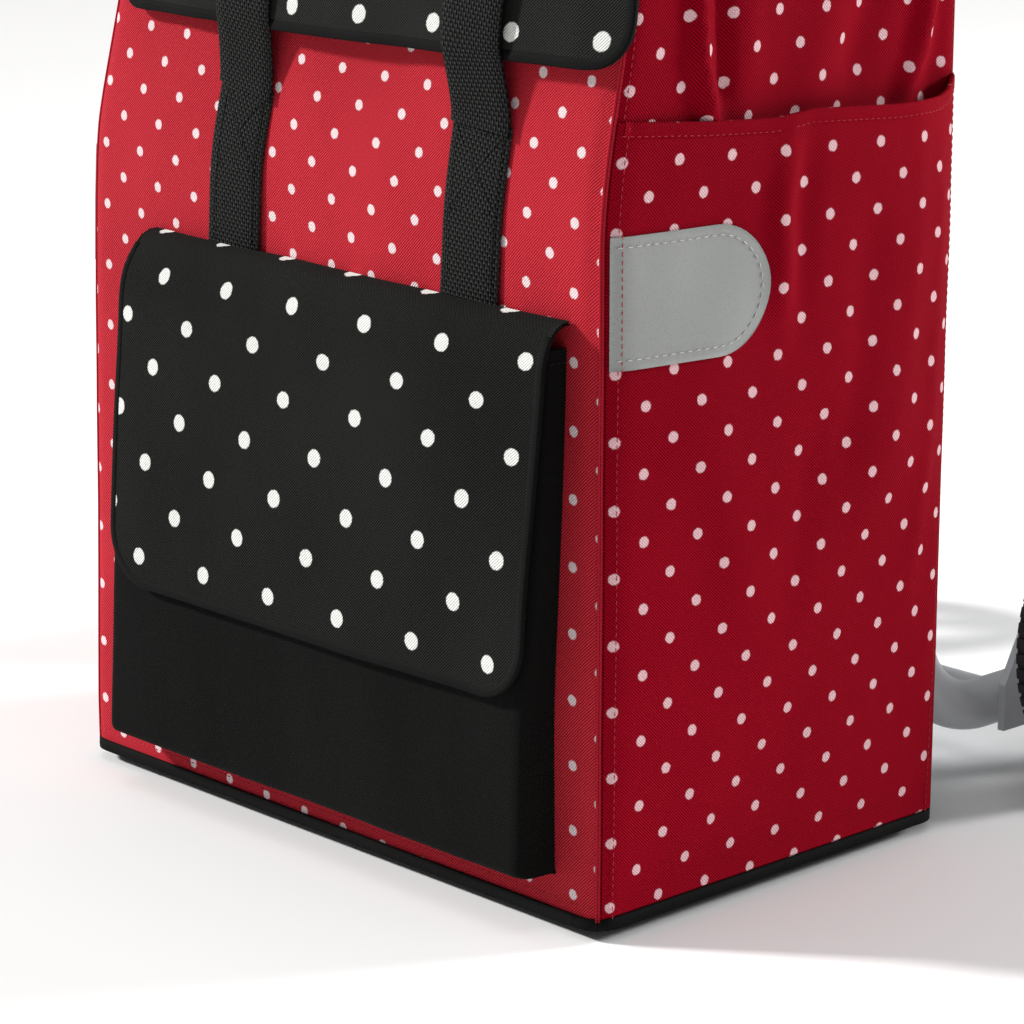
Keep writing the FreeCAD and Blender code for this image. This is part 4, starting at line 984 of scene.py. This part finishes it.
def leafGrid(left, right, long, radius, count, steps):
    # a grid on a leaf with two round lower corners; the steps go down to where the corners begin
    turns = long - radius * (1 - np.sin(np.linspace(0, math.pi / 2, 13)[1:]))
    share, vs = grid(np.linspace(0, 1, count), np.concatenate([steps, turns]))
    low = np.clip(radius - (long - vs), 0, radius)
    cut = radius - np.sqrt(np.maximum(radius**2 - low**2, 0))
    return (left + cut) * (1 - share) + (right - cut) * share, vs


flapCloth = Cloth(flapWhere)
flapShape = flapSet["left"], flapSet["right"], flapLong, flapSet["round"]


def makeFlap():
    us, vs = leafGrid(*flapShape, 80, spread(0, flapLong - flapSet["round"], 0.004))
    # the pattern follows height on the lower part
    uv = np.stack([us, flapSet["low"] + flapLong - vs], axis=-1)
    flap = shell("pocketFlap", flapCloth, us, vs, flapSet["thick"], "blackDots", uv)
    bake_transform(flap)
    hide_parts("pocket_flap")


def edgeLine(left, right, long, radius, inset, top=0.0):
    # left side down, round the corners and up the right side, as u, v and the way inwards
    r = radius - inset
    line = [(left + inset, top, 1, 0), (left + inset, long - radius, 1, 0)]
    for t in np.radians(np.linspace(5, 85, 9)):
        line.append((left + radius - r * math.cos(t), long - radius + r * math.sin(t), math.cos(t), -math.sin(t)))
    line += [(left + radius, long - inset, 0, -1), (right - radius, long - inset, 0, -1)]
    for t in np.radians(np.linspace(5, 85, 9)):
        line.append((right - radius + r * math.sin(t), long - radius + r * math.cos(t), -math.sin(t), -math.cos(t)))
    line += [(right - inset, long - radius, -1, 0), (right - inset, top, -1, 0)]
    line = np.array(line, float)
    run = runOf(line[:, :2])
    return sampled(line, run, int(run[-1] / 0.004))


def hemBand(name, cloth, line, wide, lift, material, behind=0.0):
    # a tape along an edge: it lies on the face and wraps over the edge to the back
    inward = unit(line[:, 2:])
    run = runOf(line[:, :2])
    wrap = 0.0004
    section = [(wide, 0.00005), (wide * 0.97, lift), (wide * 0.5, lift * 1.15), (wrap, lift), (-wrap, lift * 0.4),
               (-wrap, -behind + lift * -0.2), (wrap, -behind - lift), (wide * 0.5, -behind - lift),
               (wide * 0.97, -behind)]
    rows, uv = [], []
    for step, rise in section:
        u, v = line[:, 0] + inward[:, 0] * step, line[:, 1] + inward[:, 1] * step
        rows.append(cloth.at(u, v, np.full(len(u), rise)))
        uv.append(np.stack([np.full(len(u), step), run], axis=-1))
    faces = tubeFaces(len(line), len(section), cloth.facing < 0)
    return meshPiece(name, np.stack(rows, axis=1), faces, material, np.stack(uv, axis=1))


makeFlap()
flapEdge = edgeLine(*flapShape, 0.0, 0.012)
flapBinding = hemBand("flapBinding", flapCloth, flapEdge, flapSet["hem"], 0.00028, "binding", flapSet["thick"])
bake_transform(flapBinding)
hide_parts("flap_binding")
flapStitchLine = edgeLine(*flapShape, 0.0031, 0.004)
flapSewing = sewing("flapStitches", [flapCloth.at(flapStitchLine[:, 0], flapStitchLine[:, 1], 0.0007)], "blackThread")
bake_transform(flapSewing)

# the two halves of the touch fastening: on the pocket and under the flap
tapeLow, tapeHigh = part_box("pocket_touch_tape")


def makeTouchTapes():
    xs, zs = grid(spread(tapeLow.x, tapeHigh.x, 0.003), spread(tapeLow.z, tapeHigh.z, 0.003))

    def rising(column):
        return column + np.arange(len(column)) * 1e-9

    def pocketSpot(u, v):
        return pocketWhere(np.interp(u, rising(pocketPlan[:, 0]), pocketAcross),
                           np.interp(v, rising(pocketSide[:, 0]), pocketUp))

    on = shell("pocketTouchTape", Cloth(pocketSpot), xs, zs, 0.0007, "touchTape", lift=0.0007)
    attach(on, "bag")
    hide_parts("pocket_touch_tape")

    def flapSpot(u, v):
        return flapWhere(u, np.interp(-v, -flapLine[:, 1], flapRun))

    under = shell("flapTouchTape", Cloth(flapSpot), xs, zs, 0.0006, "touchTape", lift=-flapSet["thick"] - 0.0001)
    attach(under, "pocket_flap")
    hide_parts("flap_touch_tape")


makeTouchTapes()
print("front pocket and flap made")

# lid: a top sheet that turns down over the front
lidLow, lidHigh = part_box("lid_cover")
lidSet = {"half": lidHigh.x, "low": lidLow.z, "out": frontY - lidLow.y, "top": lidHigh.z, "round": 0.020,
          "thick": 0.0022, "sag": 0.004, "flare": 0.003, "tail": 0.0135, "topRipple": 0.0008, "dropRipple": 0.0012,
          "cornerIn": 0.004, "sunk": 0.0030, "leftIn": 0.014, "rightOut": 0.0050}


def lidProfile():
    top, tail, foreY = lidSet["top"], lidSet["tail"], frontY - lidSet["out"]
    run, line = roundedLine([(rearY + 0.0005, top), (foreY, top), (foreY, lidSet["low"])], 0.010)
    # the tail turns down behind the rim, where the lid is sewn to the rear wall
    tailRun = [-tail, -0.0040, -0.0026, -0.0012]
    tailLine = [(rearY + 0.0031, top - tail + 0.0020), (rearY + 0.0031, top - 0.0026), (rearY + 0.0026, top - 0.0012),
                (rearY + 0.0016, top - 0.0003)]
    return np.concatenate([tailRun, np.linspace(0, run[-1], 180)]), np.vstack([tailLine, sampled(line, run, 180)])


lidRun, lidLine = lidProfile()
lidLong = lidRun[-1]
lidTop = rearY - frontY + lidSet["out"]


def lidWhere(u, v):
    y = np.interp(v, lidRun, lidLine[:, 0])
    z = np.interp(v, lidRun, lidLine[:, 1]) - np.maximum(v - lidLong, 0)
    across = np.clip(u / lidSet["half"], -1, 1)
    top = np.sin(math.pi * np.clip(v / lidTop, 0, 1)) * (1 - across**4)
    z = z - lidSet["sag"] * top + lidSet["topRipple"] * top * ripple(u, v, 41)
    drop = ease((v - lidTop) / 0.15)
    flare = lidSet["flare"] * (0.6 + 0.4 * np.sin(u * 22 + 1.0))
    y = y - drop * (flare + lidSet["dropRipple"] * ripple(u, v, 43))
    y = y + lidSet["cornerIn"] * drop * np.clip(np.abs(across) - 0.86, 0, 1) * 7 * ease((v - lidTop - 0.08) / 0.05)
    z = z - lidSet["sunk"] * ease((v - lidTop - 0.05) / 0.1)
    x = u + lidSet["leftIn"] * ease((-across - 0.45) / 0.55) * drop
    x = x + lidSet["rightOut"] * ease((across - 0.5) / 0.5) * ease((v - lidTop) / 0.1)
    return soften(np.stack([x, y, z], axis=-1))


lidCloth = Cloth(lidWhere)
lidShape = -lidSet["half"], lidSet["half"], lidLong, lidSet["round"]


def makeLid():
    steps = np.concatenate([spread(-lidSet["tail"], -0.0042, 0.003), [-0.0033, -0.0026, -0.0019, -0.0012, -0.0006],
                            spread(0, lidLong - lidSet["round"], 0.005)])
    us, vs = leafGrid(*lidShape, 84, steps)
    uv = np.stack([us, lidLong - vs], axis=-1)
    lid = shell("lidCover", lidCloth, us, vs, lidSet["thick"], "lidDots", uv)
    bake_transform(lid)
    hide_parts("lid_cover")
    edge = edgeLine(*lidShape, 0.0, 0.004)
    binding = hemBand("lidBinding", lidCloth, edge, 0.0046, 0.0003, "binding", lidSet["thick"])
    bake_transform(binding)
    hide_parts("lid_binding")
    line = edgeLine(*lidShape, 0.0036, 0.006)
    thread = sewing("lidStitches", [lidCloth.at(line[:, 0], line[:, 1], 0.0008)], "blackThread")
    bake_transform(thread)


makeLid()
print("lid made")

# side pocket: a wide patch sewn at the front, rear and foot, slack at its mouth
sideLow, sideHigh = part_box("side_pocket")
sideSet = {"half": (sideHigh.y - sideLow.y) / 2, "low": sideLow.z, "thick": 0.0014, "lift": 0.0016, "full": 0.0120,
           "sewn": 0.0006, "ripple": 0.0007, "least": 0.0012}
hemAlong = [-0.115, -0.063, -0.025, 0.0, 0.054, 0.088, 0.098, 0.104, 0.115]
hemHeight = [0.367, 0.363, 0.361, 0.363, 0.360, 0.360, 0.362, 0.366, 0.369]


def hemTop(u):
    return np.interp(u, hemAlong, hemHeight)


def sidePocketWhere(u, v):
    y, back = turnedIn(u, halfDeep)
    half, above, inside = sideSet["half"], v - sideSet["low"], sideSet["half"] - np.abs(u)
    loose = ease(above / 0.22)
    crest = np.interp(v, crestHeights, crestPlaces)
    before = ease((u + half) / (crest + half))
    after = np.clip((half - u) / (half - crest), 0, 1)
    arch = np.where(u < crest, before**0.8, 1 - (1 - after) ** 1.35)
    rise = sideSet["lift"] * ease(inside / 0.012) * ease(above / 0.02) + sideSet["sewn"]
    rise = rise + sideSet["full"] * arch * (0.2 + 0.8 * loose) * ease(above / 0.06)
    slack = 0
    for line, wide, tall in pocketFolds:
        slack = slack + fold(u, v, line, wide, tall, 0.05)
    slack = slack + sideSet["ripple"] * ripple(u, v, 51, 0.05, 0.16)
    rise = np.maximum(rise + slack * ease(inside / 0.02) * ease(above / 0.04), sideSet["least"])
    return soften(np.stack([halfWide - back + rise, bagY + y, v], axis=-1))


sidePocketCloth = Cloth(sidePocketWhere)


def upright(cloth, u, heights, lift):
    # a line up the cloth
    return cloth.at(np.full_like(heights, u), heights, lift)


def makeSidePocket():
    us, share = grid(spread(-sideSet["half"], sideSet["half"] - 0.001, 0.0028), np.linspace(0, 1, 128))
    vs = sideSet["low"] + share * (hemTop(us) - sideSet["low"])
    patch = shell("sidePocket", sidePocketCloth, us, vs, sideSet["thick"], "redSideShaded")
    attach(patch, "bag")
    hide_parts("side_pocket")
    u = spread(-sideSet["half"] + 0.003, sideSet["half"] - 0.004, 0.004)
    mouth = sidePocketCloth.at(u, hemTop(u) - 0.0055, 0.0003)
    # the folded hem stands a little proud
    line = np.stack([u, hemTop(u), np.zeros_like(u), -np.ones_like(u)], axis=-1)
    hem = hemBand("sidePocketHem", sidePocketCloth, line, 0.0062, 0.0004, "redSideShaded", sideSet["thick"])
    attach(hem, "bag")
    v = spread(0.012, 0.364, 0.004)
    return [mouth] + [upright(sidePocketCloth, u, v, 0.0003) for u in (-sideSpan + 0.006, sideSpan - 0.008)]


sideLines = makeSidePocket()


# reflective tabs: straight at the seam, round at the other end
def makeTab(name, node, cloth, start, lift):
    low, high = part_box(node)
    long, tall = high.y - low.y, high.z - low.z
    middle = (low.z + high.z) / 2
    radius = tall / 2
    centre = start + long - radius
    turns = centre + radius * np.sin(np.linspace(0, math.pi / 2, 15)[1:])
    steps = np.concatenate([spread(start, centre, 0.003), turns])
    us, share = grid(steps, np.linspace(-1, 1, 21))
    past = np.clip(us - centre, 0, radius)
    reach = np.where(us > centre, np.sqrt(np.maximum(radius**2 - past**2, 1e-9)), radius)
    tab = shell(name, cloth, us, middle + share * reach, 0.0007, "reflector", lift=lift)
    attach(tab, "bag")
    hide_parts(node)
    sewn = radius - 0.0045
    line = [(start + 0.004, middle + sewn)]
    for t in np.linspace(math.pi / 2, -math.pi / 2, 25):
        line.append((centre + sewn * math.cos(t), middle + sewn * math.sin(t)))
    line.append((start + 0.004, middle - sewn))
    line = spaced(np.array(line), 90)
    seam = upright(cloth, start + 0.005, np.linspace(middle - radius, middle + radius, 24), lift + 0.0003)
    return cloth.at(line[:, 0], line[:, 1], lift + 0.0003), seam


rightTab, rightSeam = makeTab("reflectorRight", "reflector_tab_right", sidePocketCloth, -sideSpan + 0.0022, 0.0012)
leftTab, leftSeam = makeTab("reflectorLeft", "reflector_tab_left", leftCloth, -sideSpan + 0.001, 0.0012)
tabSewing = sewing("tabStitches", [rightTab, leftTab], "paleThread", 0.0046, 0.0030, 0.0005)
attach(tabSewing, "bag")


seamSet = {"inset": 0.004, "lift": 0.0002, "foot": 0.0155, "low": 0.010, "underRim": 0.006, "overPocket": 0.368,
           "thread": (0.0036, 0.0026, 0.00045)}


def makeWallStitches():
    inset, lift, foot = seamSet["inset"], seamSet["lift"], seamSet["foot"]
    high = wallTop - seamSet["underRim"]
    v = spread(seamSet["low"], high, 0.005)
    x = spread(-frontSpan + inset, frontSpan - inset, 0.005)
    lines = sideLines + [rightSeam, leftSeam]
    for cloth, heights in ((rightCloth, v[v > seamSet["overPocket"]]), (leftCloth, v)):
        lines += [upright(cloth, u, heights, lift) for u in (-sideSpan + inset, sideSpan - inset)]
    lines.append(frontCloth.at(x, foot, lift))
    thread = sewing("wallStitches", lines, "redThread", *seamSet["thread"])
    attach(thread, "bag")
    dark = [pocketHem, rearCloth.at(x, foot, lift)]
    dark += [upright(rearCloth, u, v, lift) for u in (-frontSpan + inset, frontSpan - inset)]
    ring = soften(aroundBag(0.0004, high))
    dark.append(np.vstack([ring, ring[:1]]))
    black = sewing("darkStitches", dark, "blackThread", *seamSet["thread"])
    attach(black, "bag")


makeWallStitches()
print("side pocket, tabs and wall stitches made")

# webbing: two sewn straps, then the free carry loop
strapSet = {"wide": 0.0375, "thick": 0.0022, "boxLow": 0.321, "boxHigh": 0.3555, "rowLow": 0.287, "rowHigh": 0.318,
            "left": [(-0.0610, 0.276), (-0.0600, 0.303), (-0.0592, 0.325), (-0.0582, 0.344), (-0.0572, 0.361)],
            "right": [(0.1055, 0.276), (0.1068, 0.303), (0.1080, 0.325), (0.1090, 0.344), (0.1096, 0.361)]}


def makeStraps():
    lines = []
    for side in ("left", "right"):
        spine = threaded(strapSet[side], 40)
        path = frontCloth.at(spine[:, 0], spine[:, 1], strapSet["thick"] / 2 + 0.0004)
        lean = unit(np.gradient(spine, axis=0))
        sideways = np.stack([lean[:, 1], np.zeros(len(spine)), -lean[:, 0]], axis=-1)
        strapBand = band(path, strapSet["wide"], sideways, strapSet["thick"])
        strap = joined("frontStrap" + side.capitalize(), [strapBand], "webbing")
        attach(strap, "bag")
        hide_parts("front_strap_" + side)
        half = strapSet["wide"] / 2 - 0.004

        def sew(spots):
            line = [(np.interp(z, spine[:, 1], spine[:, 0]) + a, z) for a, z in spots]
            if len(line) == 2:
                line = np.linspace(*line, 12)
            u, v = np.transpose(line)
            lines.append(frontCloth.at(u, v, strapSet["thick"] + 0.0006))

        # a box with a cross, and a row down each side under it
        boxLow, boxHigh = strapSet["boxLow"], strapSet["boxHigh"]
        corners = [(-half, boxLow), (half, boxLow), (half, boxHigh), (-half, boxHigh)]
        for first, last in ((0, 1), (1, 2), (2, 3), (3, 0), (0, 2), (1, 3)):
            sew([corners[first], corners[last]])
        for a in (-half, half):
            sew([(a, z) for z in spread(strapSet["rowLow"], strapSet["rowHigh"], 0.003)])
    thread = sewing("strapStitches", lines, "blackThread", 0.0034, 0.0027, 0.0006)
    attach(thread, "bag")


makeStraps()

loopSet = {"legTop": 0.520, "middle": 0.0335, "radius": 0.0805, "wideTop": 0.021, "thickTop": 0.0042}


def makeLoop():
    # each leg steps out over the lid's edge, climbs, and folds narrow and turns as it becomes the arch
    legTop, middle, radius = loopSet["legTop"], loopSet["middle"], loopSet["radius"]
    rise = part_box("carry_handle")[1].z - loopSet["thickTop"] / 2 - legTop
    # height and distance from the front wall, then left and right place
    legs = [(0.3575, 0.0032, -0.0574, 0.1095), (0.364, 0.0035, -0.0571, 0.1094), (0.374, 0.0056, -0.0568, 0.1082),
            (0.386, 0.0086, -0.0566, 0.1062), (0.397, 0.0116, -0.0562, 0.1050), (0.42, 0.0124, -0.0550, 0.1055),
            (0.47, 0.0128, -0.0510, 0.1095), (legTop, 0.0142, -0.0470, 0.1140)]
    spine = [(left, frontY - out, z) for z, out, left, right in legs]
    for t in np.radians(np.linspace(160, 20, 8)):
        spine.append((middle + radius * math.cos(t), frontY - 0.0165, legTop + rise * math.sin(t)))
    spine += [(right, frontY - out, z) for z, out, left, right in reversed(legs)]
    spine = soften(threaded(spine, 190))
    # 0 on the legs, 1 on the arch
    climb = ease((spine[:, 2] - 0.430) / 0.100)
    wide = strapSet["wide"] * (1 - climb) + loopSet["wideTop"] * climb
    turn = climb * math.pi / 2
    across = np.stack([np.cos(turn), np.sin(turn), np.zeros_like(turn)], axis=-1)
    # the width turns the same way round on both legs, so the band never crosses itself
    across[len(spine) // 2:, 0] *= -1
    along = unit(np.gradient(spine, axis=0))
    side = squared(across, along)
    face = unit(np.cross(along, side))
    thick = strapSet["thick"] * (1 - climb) + loopSet["thickTop"] * climb
    lengths = runOf(spine)
    points, uv = [], []
    shape = [(-1, 0, 0), (-0.97, 0.7, 0), (-0.6, 1, 0), (0, 1, 0.25), (0.6, 1, 0), (0.97, 0.7, 0), (1, 0, 0),
             (0.97, -0.7, 0), (0.6, -1, 0), (0, -1, -0.25), (-0.6, -1, 0), (-0.97, -0.7, 0)]
    for i in range(len(spine)):
        for a, b, extra in shape:
            points.append(spine[i] + side[i] * a * wide[i] / 2 + face[i] * (b + extra * climb[i]) * thick[i] / 2)
            uv.append((a * wide[i] / 2, lengths[i]))
    loop = meshPiece("carryLoop", points, tubeFaces(len(spine), len(shape), True), "webbing", uv)
    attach(loop, "bag")
    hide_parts("carry_handle")
    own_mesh(loop)
    float((wide * np.gradient(lengths)).sum())


makeLoop()
print("straps and carry loop made")


# wheels: a round tyre with tread blocks round it
def lathe(name, profile, material, steps):
    # profile is (along the axis, radius); the spun surface closes on itself
    profile = np.array(profile, float)[::-1]
    turn = np.linspace(0, 2 * math.pi, steps, endpoint=False)
    points = [np.stack([profile[:, 0], profile[:, 1] * math.cos(t), profile[:, 1] * math.sin(t)], axis=-1)
              for t in turn]
    uv = np.zeros((steps, len(profile), 2))
    uv[..., 0] = profile[:, 0]
    uv[..., 1] = (turn * 0.08)[:, None]
    body = meshPiece(name, points, gridFaces(steps, len(profile), 0, False, True, True), material, uv)
    data = body.data
    bpy.data.objects.remove(body)
    return data


def treadTree():
    given, add, join, close = startTree("tread", Count="Int", Radius="Float", Offset="Float", Long="Float",
                                        Wide="Float", Tall="Float", Finish="Material")
    parts = []
    for row in (-1, 0, 1):
        ring = add("GeometryNodeMeshCircle", {}, {"Vertices": given["Count"], "Radius": given["Radius"]})
        half = math.radians(2.8) * (row % 2)  # the outer rows are half a block on
        lay = add("GeometryNodeTransform", {}, {0: ring, "Rotation": (math.pi / 2, half, math.pi / 2)})
        shift = add("ShaderNodeMath", {"operation": "MULTIPLY"}, {0: given["Offset"], 1: float(row)})
        move = add("ShaderNodeCombineXYZ", {}, {0: shift})
        moved = add("GeometryNodeTransform", {}, {0: lay, "Translation": move})
        radial = add("ShaderNodeVectorMath", {"operation": "MULTIPLY"},
                     {0: add("GeometryNodeInputPosition"), 1: (0.0, 1.0, 1.0)})
        outward = add("FunctionNodeAlignRotationToVector", {"axis": "Z"}, {"Vector": radial})
        steady = add("FunctionNodeAlignRotationToVector", {"axis": "X", "pivot_axis": "Z"},
                     {"Rotation": outward, "Vector": (1.0, 0.0, 0.0)})
        size = add("ShaderNodeCombineXYZ", {}, {0: given["Wide"], 1: given["Long"], 2: given["Tall"]})
        block = add("GeometryNodeMeshCube", {}, {"Size": size})
        put = add("GeometryNodeInstanceOnPoints", {}, {"Points": moved, "Instance": block, "Rotation": steady})
        parts.append(put.outputs[0])
    real = add("GeometryNodeRealizeInstances", {}, {0: join(*parts)})
    return close(join(real.outputs[0], given["Geometry"]))


treadSet = {"count": 64, "long": 0.0052, "wide": 0.0070, "tall": 0.0016, "offset": 0.0086, "seat": 0.0661}


def moveMesh(piece, step):
    for vertex in piece.data.vertices:
        vertex.co += step


def makeTyres():
    tread = treadTree()
    for side in ("left", "right"):
        low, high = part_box("tyre_" + side)
        half = (high.x - low.x) / 2
        outer, inner = (high.z - low.z) / 2, treadSet["seat"]
        rising = [(-half * 0.62, inner), (-half * 0.80, inner + 0.0022), (-half * 0.965, inner + 0.0050),
                  (-half, outer - 0.0070), (-half * 0.95, outer - 0.0036), (-half * 0.80, outer - 0.0012),
                  (-half * 0.62, outer - 0.0009)]
        profile = rising + [(0.0, outer - 0.0009 + 0.0002)] + [(-x, r) for x, r in reversed(rising)]
        tyre = runTree("tyre" + side.capitalize(), lathe("tyreBody", profile, "tyre", 120), tread, {
            "Count": treadSet["count"], "Radius": outer - treadSet["tall"] / 2, "Offset": treadSet["offset"],
            "Long": treadSet["long"], "Wide": treadSet["wide"], "Tall": treadSet["tall"], "Finish": finishes["tyre"]})
        moveMesh(tyre, (low + high) / 2)
        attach(tyre, "wheel_" + side)
        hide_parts("tyre_" + side)


makeTyres()


# grip: a rubber sleeve with ribs, one ring for each
def ribTree():
    given, add, join, close = startTree("ribs", Count="Int", Half="Float", Radius="Float", Thick="Float",
                                        Finish="Material")
    minus = add("ShaderNodeMath", {"operation": "MULTIPLY"}, {0: given["Half"], 1: -1.0})
    start = add("ShaderNodeCombineXYZ", {}, {0: minus})
    end = add("ShaderNodeCombineXYZ", {}, {0: given["Half"]})
    line = add("GeometryNodeMeshLine", {"mode": "END_POINTS"},
               {"Count": given["Count"], "Start Location": start, "Offset": end})
    ring = add("GeometryNodeCurvePrimitiveCircle", {}, {"Resolution": 40, "Radius": given["Radius"]})
    section = add("GeometryNodeCurvePrimitiveCircle", {}, {"Resolution": 8, "Radius": given["Thick"]})
    rib = add("GeometryNodeCurveToMesh", {}, {"Curve": ring, "Profile Curve": section})
    upright = add("GeometryNodeTransform", {}, {0: rib, "Rotation": (0.0, math.pi / 2, 0.0)})
    put = add("GeometryNodeInstanceOnPoints", {}, {"Points": line, "Instance": upright})
    real = add("GeometryNodeRealizeInstances", {}, {0: put})
    both = join(real.outputs[0], given["Geometry"])
    return close(add("GeometryNodeSetShadeSmooth", {}, {0: both}))


gripSet = {"ribs": 26, "rib": 0.0012, "bore": 0.0092}


def makeGrip():
    low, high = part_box("hand_grip")
    half, outer = (high.x - low.x) / 2, (high.z - low.z) / 2
    rising = [(-half, gripSet["bore"]), (-half, outer - 0.0022), (-half + 0.0008, outer - 0.0008),
              (-half + 0.003, outer), (-half + 0.008, outer), (-half + 0.010, outer - 0.0014)]
    profile = rising + [(-x, r) for x, r in reversed(rising)]
    grip = runTree("handGrip", lathe("gripBody", profile, "gripRubber", 64), ribTree(), {
        "Count": gripSet["ribs"], "Half": half - 0.0125, "Radius": outer - gripSet["rib"], "Thick": gripSet["rib"],
        "Finish": finishes["gripRubber"]})
    moveMesh(grip, (low + high) / 2)
    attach(grip, "handle")
    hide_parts("hand_grip")


makeGrip()
print("tyres and grip made")

# the frame's own nodes keep their shape and take a finish
hardSlots = {"frame_paint": "framePaint", "handle_metal": "handleMetal", "black_plastic": "blackPlastic",
             "wheel_plastic": "wheelPlastic", "tyre": "tyre", "foot_rubber": "footRubber", "grip_rubber": "gripRubber",
             "bright_steel": "brightSteel", "base_board": "baseBoard", "reflector": "reflector"}
for entry in frame["record"]["materials"]:
    finish = hardSlots.get(entry["slot"])
    for name in entry.get("nodes", []):
        if finish and name in nodes:
            for place in nodes[name].material_slots:
                place.material = finishes[finish]
            if not nodes[name].material_slots:
                nodes[name].data.materials.append(finishes[finish])


def makeFloor():
    reach = cameraSet["far"]
    f = Finish("floor")
    cloud = f.noise(f.place(), 3.0, 3.0)
    fine = f.noise(f.place(), 260.0, 2.0)
    colour = f.mix(cloud, (0.86, 0.86, 0.86, 1), (0.88, 0.88, 0.88, 1))
    material = f.done(colour=colour, rough=0.55 + 0.1 * fine, normal=f.bump(fine, 0.0001, 0.3), shine=0.3)
    data = bpy.data.meshes.new("floor")
    corners = [(x * reach, y * reach, 0) for x, y in ((-1, -1), (1, -1), (1, 1), (-1, 1))]
    data.from_pydata(corners, [], [(0, 1, 2, 3)])
    data.materials.append(material)
    floor = addObject("floor", data)


makeFloor()
